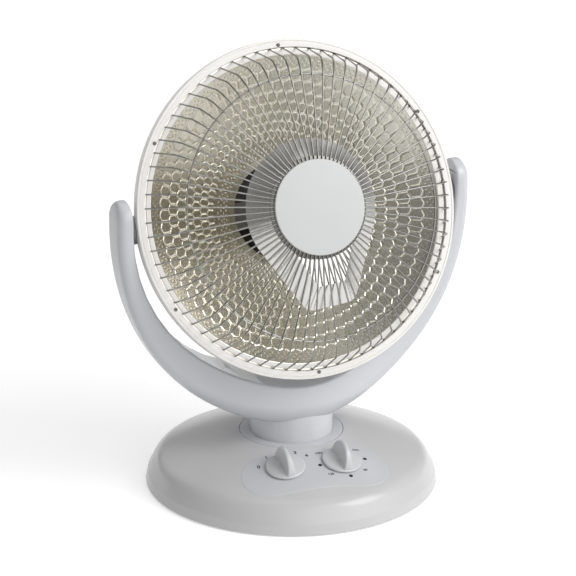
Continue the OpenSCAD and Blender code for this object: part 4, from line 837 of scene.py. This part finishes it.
# ---------------------------------------------------------------------------
# Ring screws: nickel-plated steel pan heads with a cross recess, dulled by the
# heat, each turned as the screwdriver left it.
RING_SCREW_AT, SCREW_HEAD_R, SCREW_HEAD_H = 164.2, 1.9, 1.15
CROSS_HALF, CROSS_REACH, CROSS_EDGE, CROSS_DEPTH = 0.17, 0.62, 0.12, 0.75


def screw_head(radius, height, turn):
    """A pan head: a low dome on a polar net, with a cross pressed into it, in shares of the radius."""
    r = np.concatenate([np.linspace(0, radius * 0.92, 12), [radius, radius, 0]])[:, None]
    a = np.arange(48)[None] * 2 * pi / 48
    x, y = r * np.cos(a), r * np.sin(a)
    dome = height * (1 - 0.45 * (r / radius) ** 2) * np.ones_like(a)
    dome[-3] = height * 0.35
    dome[-2:] = -0.6
    across, along = np.abs(x), np.abs(y)
    arm = (smooth((radius * CROSS_HALF - np.minimum(across, along)) / CROSS_EDGE)
           * smooth((radius * CROSS_REACH - np.maximum(across, along)) / CROSS_EDGE))
    dome[:-3] -= CROSS_DEPTH * arm[:-3]
    return turned(np.stack([x, y, dome], -1), turn)


heads = []
for i, turn in enumerate((0.3, 1.1, 0.7, 1.9, 2.4, 0.1)):
    place = Matrix.Rotation(radians(30 + 60 * i), 4, "Z") @ Matrix.Translation((RING_SCREW_AT, 0, 0.02))
    heads.append(net(moved(moved(screw_head(SCREW_HEAD_R, SCREW_HEAD_H, turn), place), dish)))
dulled = chromed("ring_screw_nickel_heat_dulled", "#7B7973", 0.34, 0.05)
fit(object_from("ring_screw_heads", heads), "head", dulled, "ring_screws", "ring_screws")

# ---------------------------------------------------------------------------
# Fasteners, fittings and the works inside: zinc-plated steel, nylon, phenolic,
# rubber, ceramic and cast iron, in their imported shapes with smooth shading. The
# zinc is dull silver, mottled by its passivation.
zinc, tree = blank("zinc_plated_steel")
where = add(tree, "ShaderNodeTexCoord")
mottle = add(tree, "ShaderNodeTexNoise", {"Vector": where.outputs["Object"], "Scale": 1000 / 2.5,
                                          "Detail": 3.0})
tone = add(tree, "ShaderNodeMix", {"Factor": mottle.outputs["Fac"], 6: colour("#A7A9AB"),
                                   7: colour("#7F8286")}, data_type="RGBA")
gloss = add(tree, "ShaderNodeMapRange", {"Value": mottle.outputs["Fac"], "To Min": 0.25, "To Max": 0.45})
skin = add(tree, "ShaderNodeBsdfPrincipled", {"Base Color": tone.outputs[2], "Metallic": 1.0,
                                              "Roughness": gloss.outputs[0]})
add(tree, "ShaderNodeOutputMaterial", {"Surface": skin.outputs[0]})

rubber = plain_finish("foot_rubber_moulded", "#1E1E1F", shine=0.6, grain=0.8, depth=0.06)
natural = plain_finish("nylon_natural_moulded", "#E4E0D2", shine=0.4, grain=1.0)
dark_plate = plain_finish("bottom_plate_polypropylene", "#3A3B3D", shine=0.48, grain=0.6, depth=0.05)
bakelite = plain_finish("phenolic_black_moulded", "#202022", shine=0.4, grain=1.0)
ceramic = plain_finish("steatite_ceramic_unglazed", "#E3DCC8", shine=0.7, grain=0.5, depth=0.08)
iron = plain_finish("ballast_cast_iron", "#4C4D4F", shine=0.6, grain=1.2, depth=0.3)

for names, body, material in (
        (("base_screws", "ballast_screws", "swing_motor", "motor_screws", "timer_unit", "switch_nuts",
          "tip_spring"), "base", zinc),
        (("bottom_plate",), "base", dark_plate), (("rubber_feet",), "base", rubber),
        (("ballast_plate",), "base", iron),
        (("cord_gland", "rotary_switch", "tip_switch"), "base", bakelite),
        (("swivel_bush", "terminal_block"), "base", natural), (("tip_plunger",), "tip_plunger", natural),
        (("crank",), "crank", natural), (("power_spindle",), "power_knob", zinc),
        (("timer_spindle",), "timer_knob", zinc),
        (("swing_arm", "thrust_washer", "swing_arm_screws", "neck_screws", "yoke_cover_screws"),
         "stand", zinc),
        (("tilt_washers", "tilt_screws", "clamp_screws", "element_bracket", "bracket_screws", "element_rod",
          "shield_nut"), "head", zinc),
        (("ceramic_base", "element_core", "shield_spacer"), "head", ceramic),
        (("thermal_cutout",), "head", bakelite)):
    for node in names:
        dressed(node, body, material)

# ---------------------------------------------------------------------------
# Heating coil: bright drawn nickel-chrome wire, not yet browned by heat, wound on
# the ceramic core. The bowl mirrors it at large, so its tone shows all over the dish.
CORE_R, HUB_Z, CORE_FRONT = 20.0, float(bowl_z(HUB_FLAT)), shield_front - 12.5
COIL_PITCH, COIL_WIRE = 2.4, 0.75
coil_from, coil_to = HUB_Z + 11.0, CORE_FRONT - 5.0
turns = (coil_to - coil_from) / COIL_PITCH
along = np.linspace(0, turns * 2 * pi, int(turns * 40))
middle = np.stack([(CORE_R + COIL_WIRE + 0.1) * np.cos(along), (CORE_R + COIL_WIRE + 0.1) * np.sin(along),
                   coil_from + along / (2 * pi) * COIL_PITCH], -1)
out = np.stack([np.cos(along), np.sin(along), 0 * along], -1)
a = np.linspace(0, 2 * pi, 8, endpoint=False)[None, :, None]
coil = closed(middle[:, None] + COIL_WIRE * (np.cos(a) * out[:, None] + np.sin(a) * np.array([0, 0, 1.0])))
# Drawn nickel-chrome: satin, with paler and darker lengths from the dies.
nichrome, tree = blank("resistance_wire_nickel_chrome_drawn")
where = add(tree, "ShaderNodeTexCoord")
draw_marks = add(tree, "ShaderNodeTexNoise", {"Vector": where.outputs["Object"], "Scale": 1000 / 6,
                                              "Detail": 3.0})
tone = add(tree, "ShaderNodeMix", {"Factor": draw_marks.outputs["Fac"], 6: colour("#D2CBBC"),
                                   7: colour("#A8A092")}, data_type="RGBA")
skin = add(tree, "ShaderNodeBsdfPrincipled", {"Base Color": tone.outputs[2], "Metallic": 1.0,
                                              "Roughness": 0.38})
add(tree, "ShaderNodeOutputMaterial", {"Surface": skin.outputs[0]})
fit(object_from("heating_coil", [net(moved(coil, dish))]), "head", nichrome, "element_coil", "element_coil")
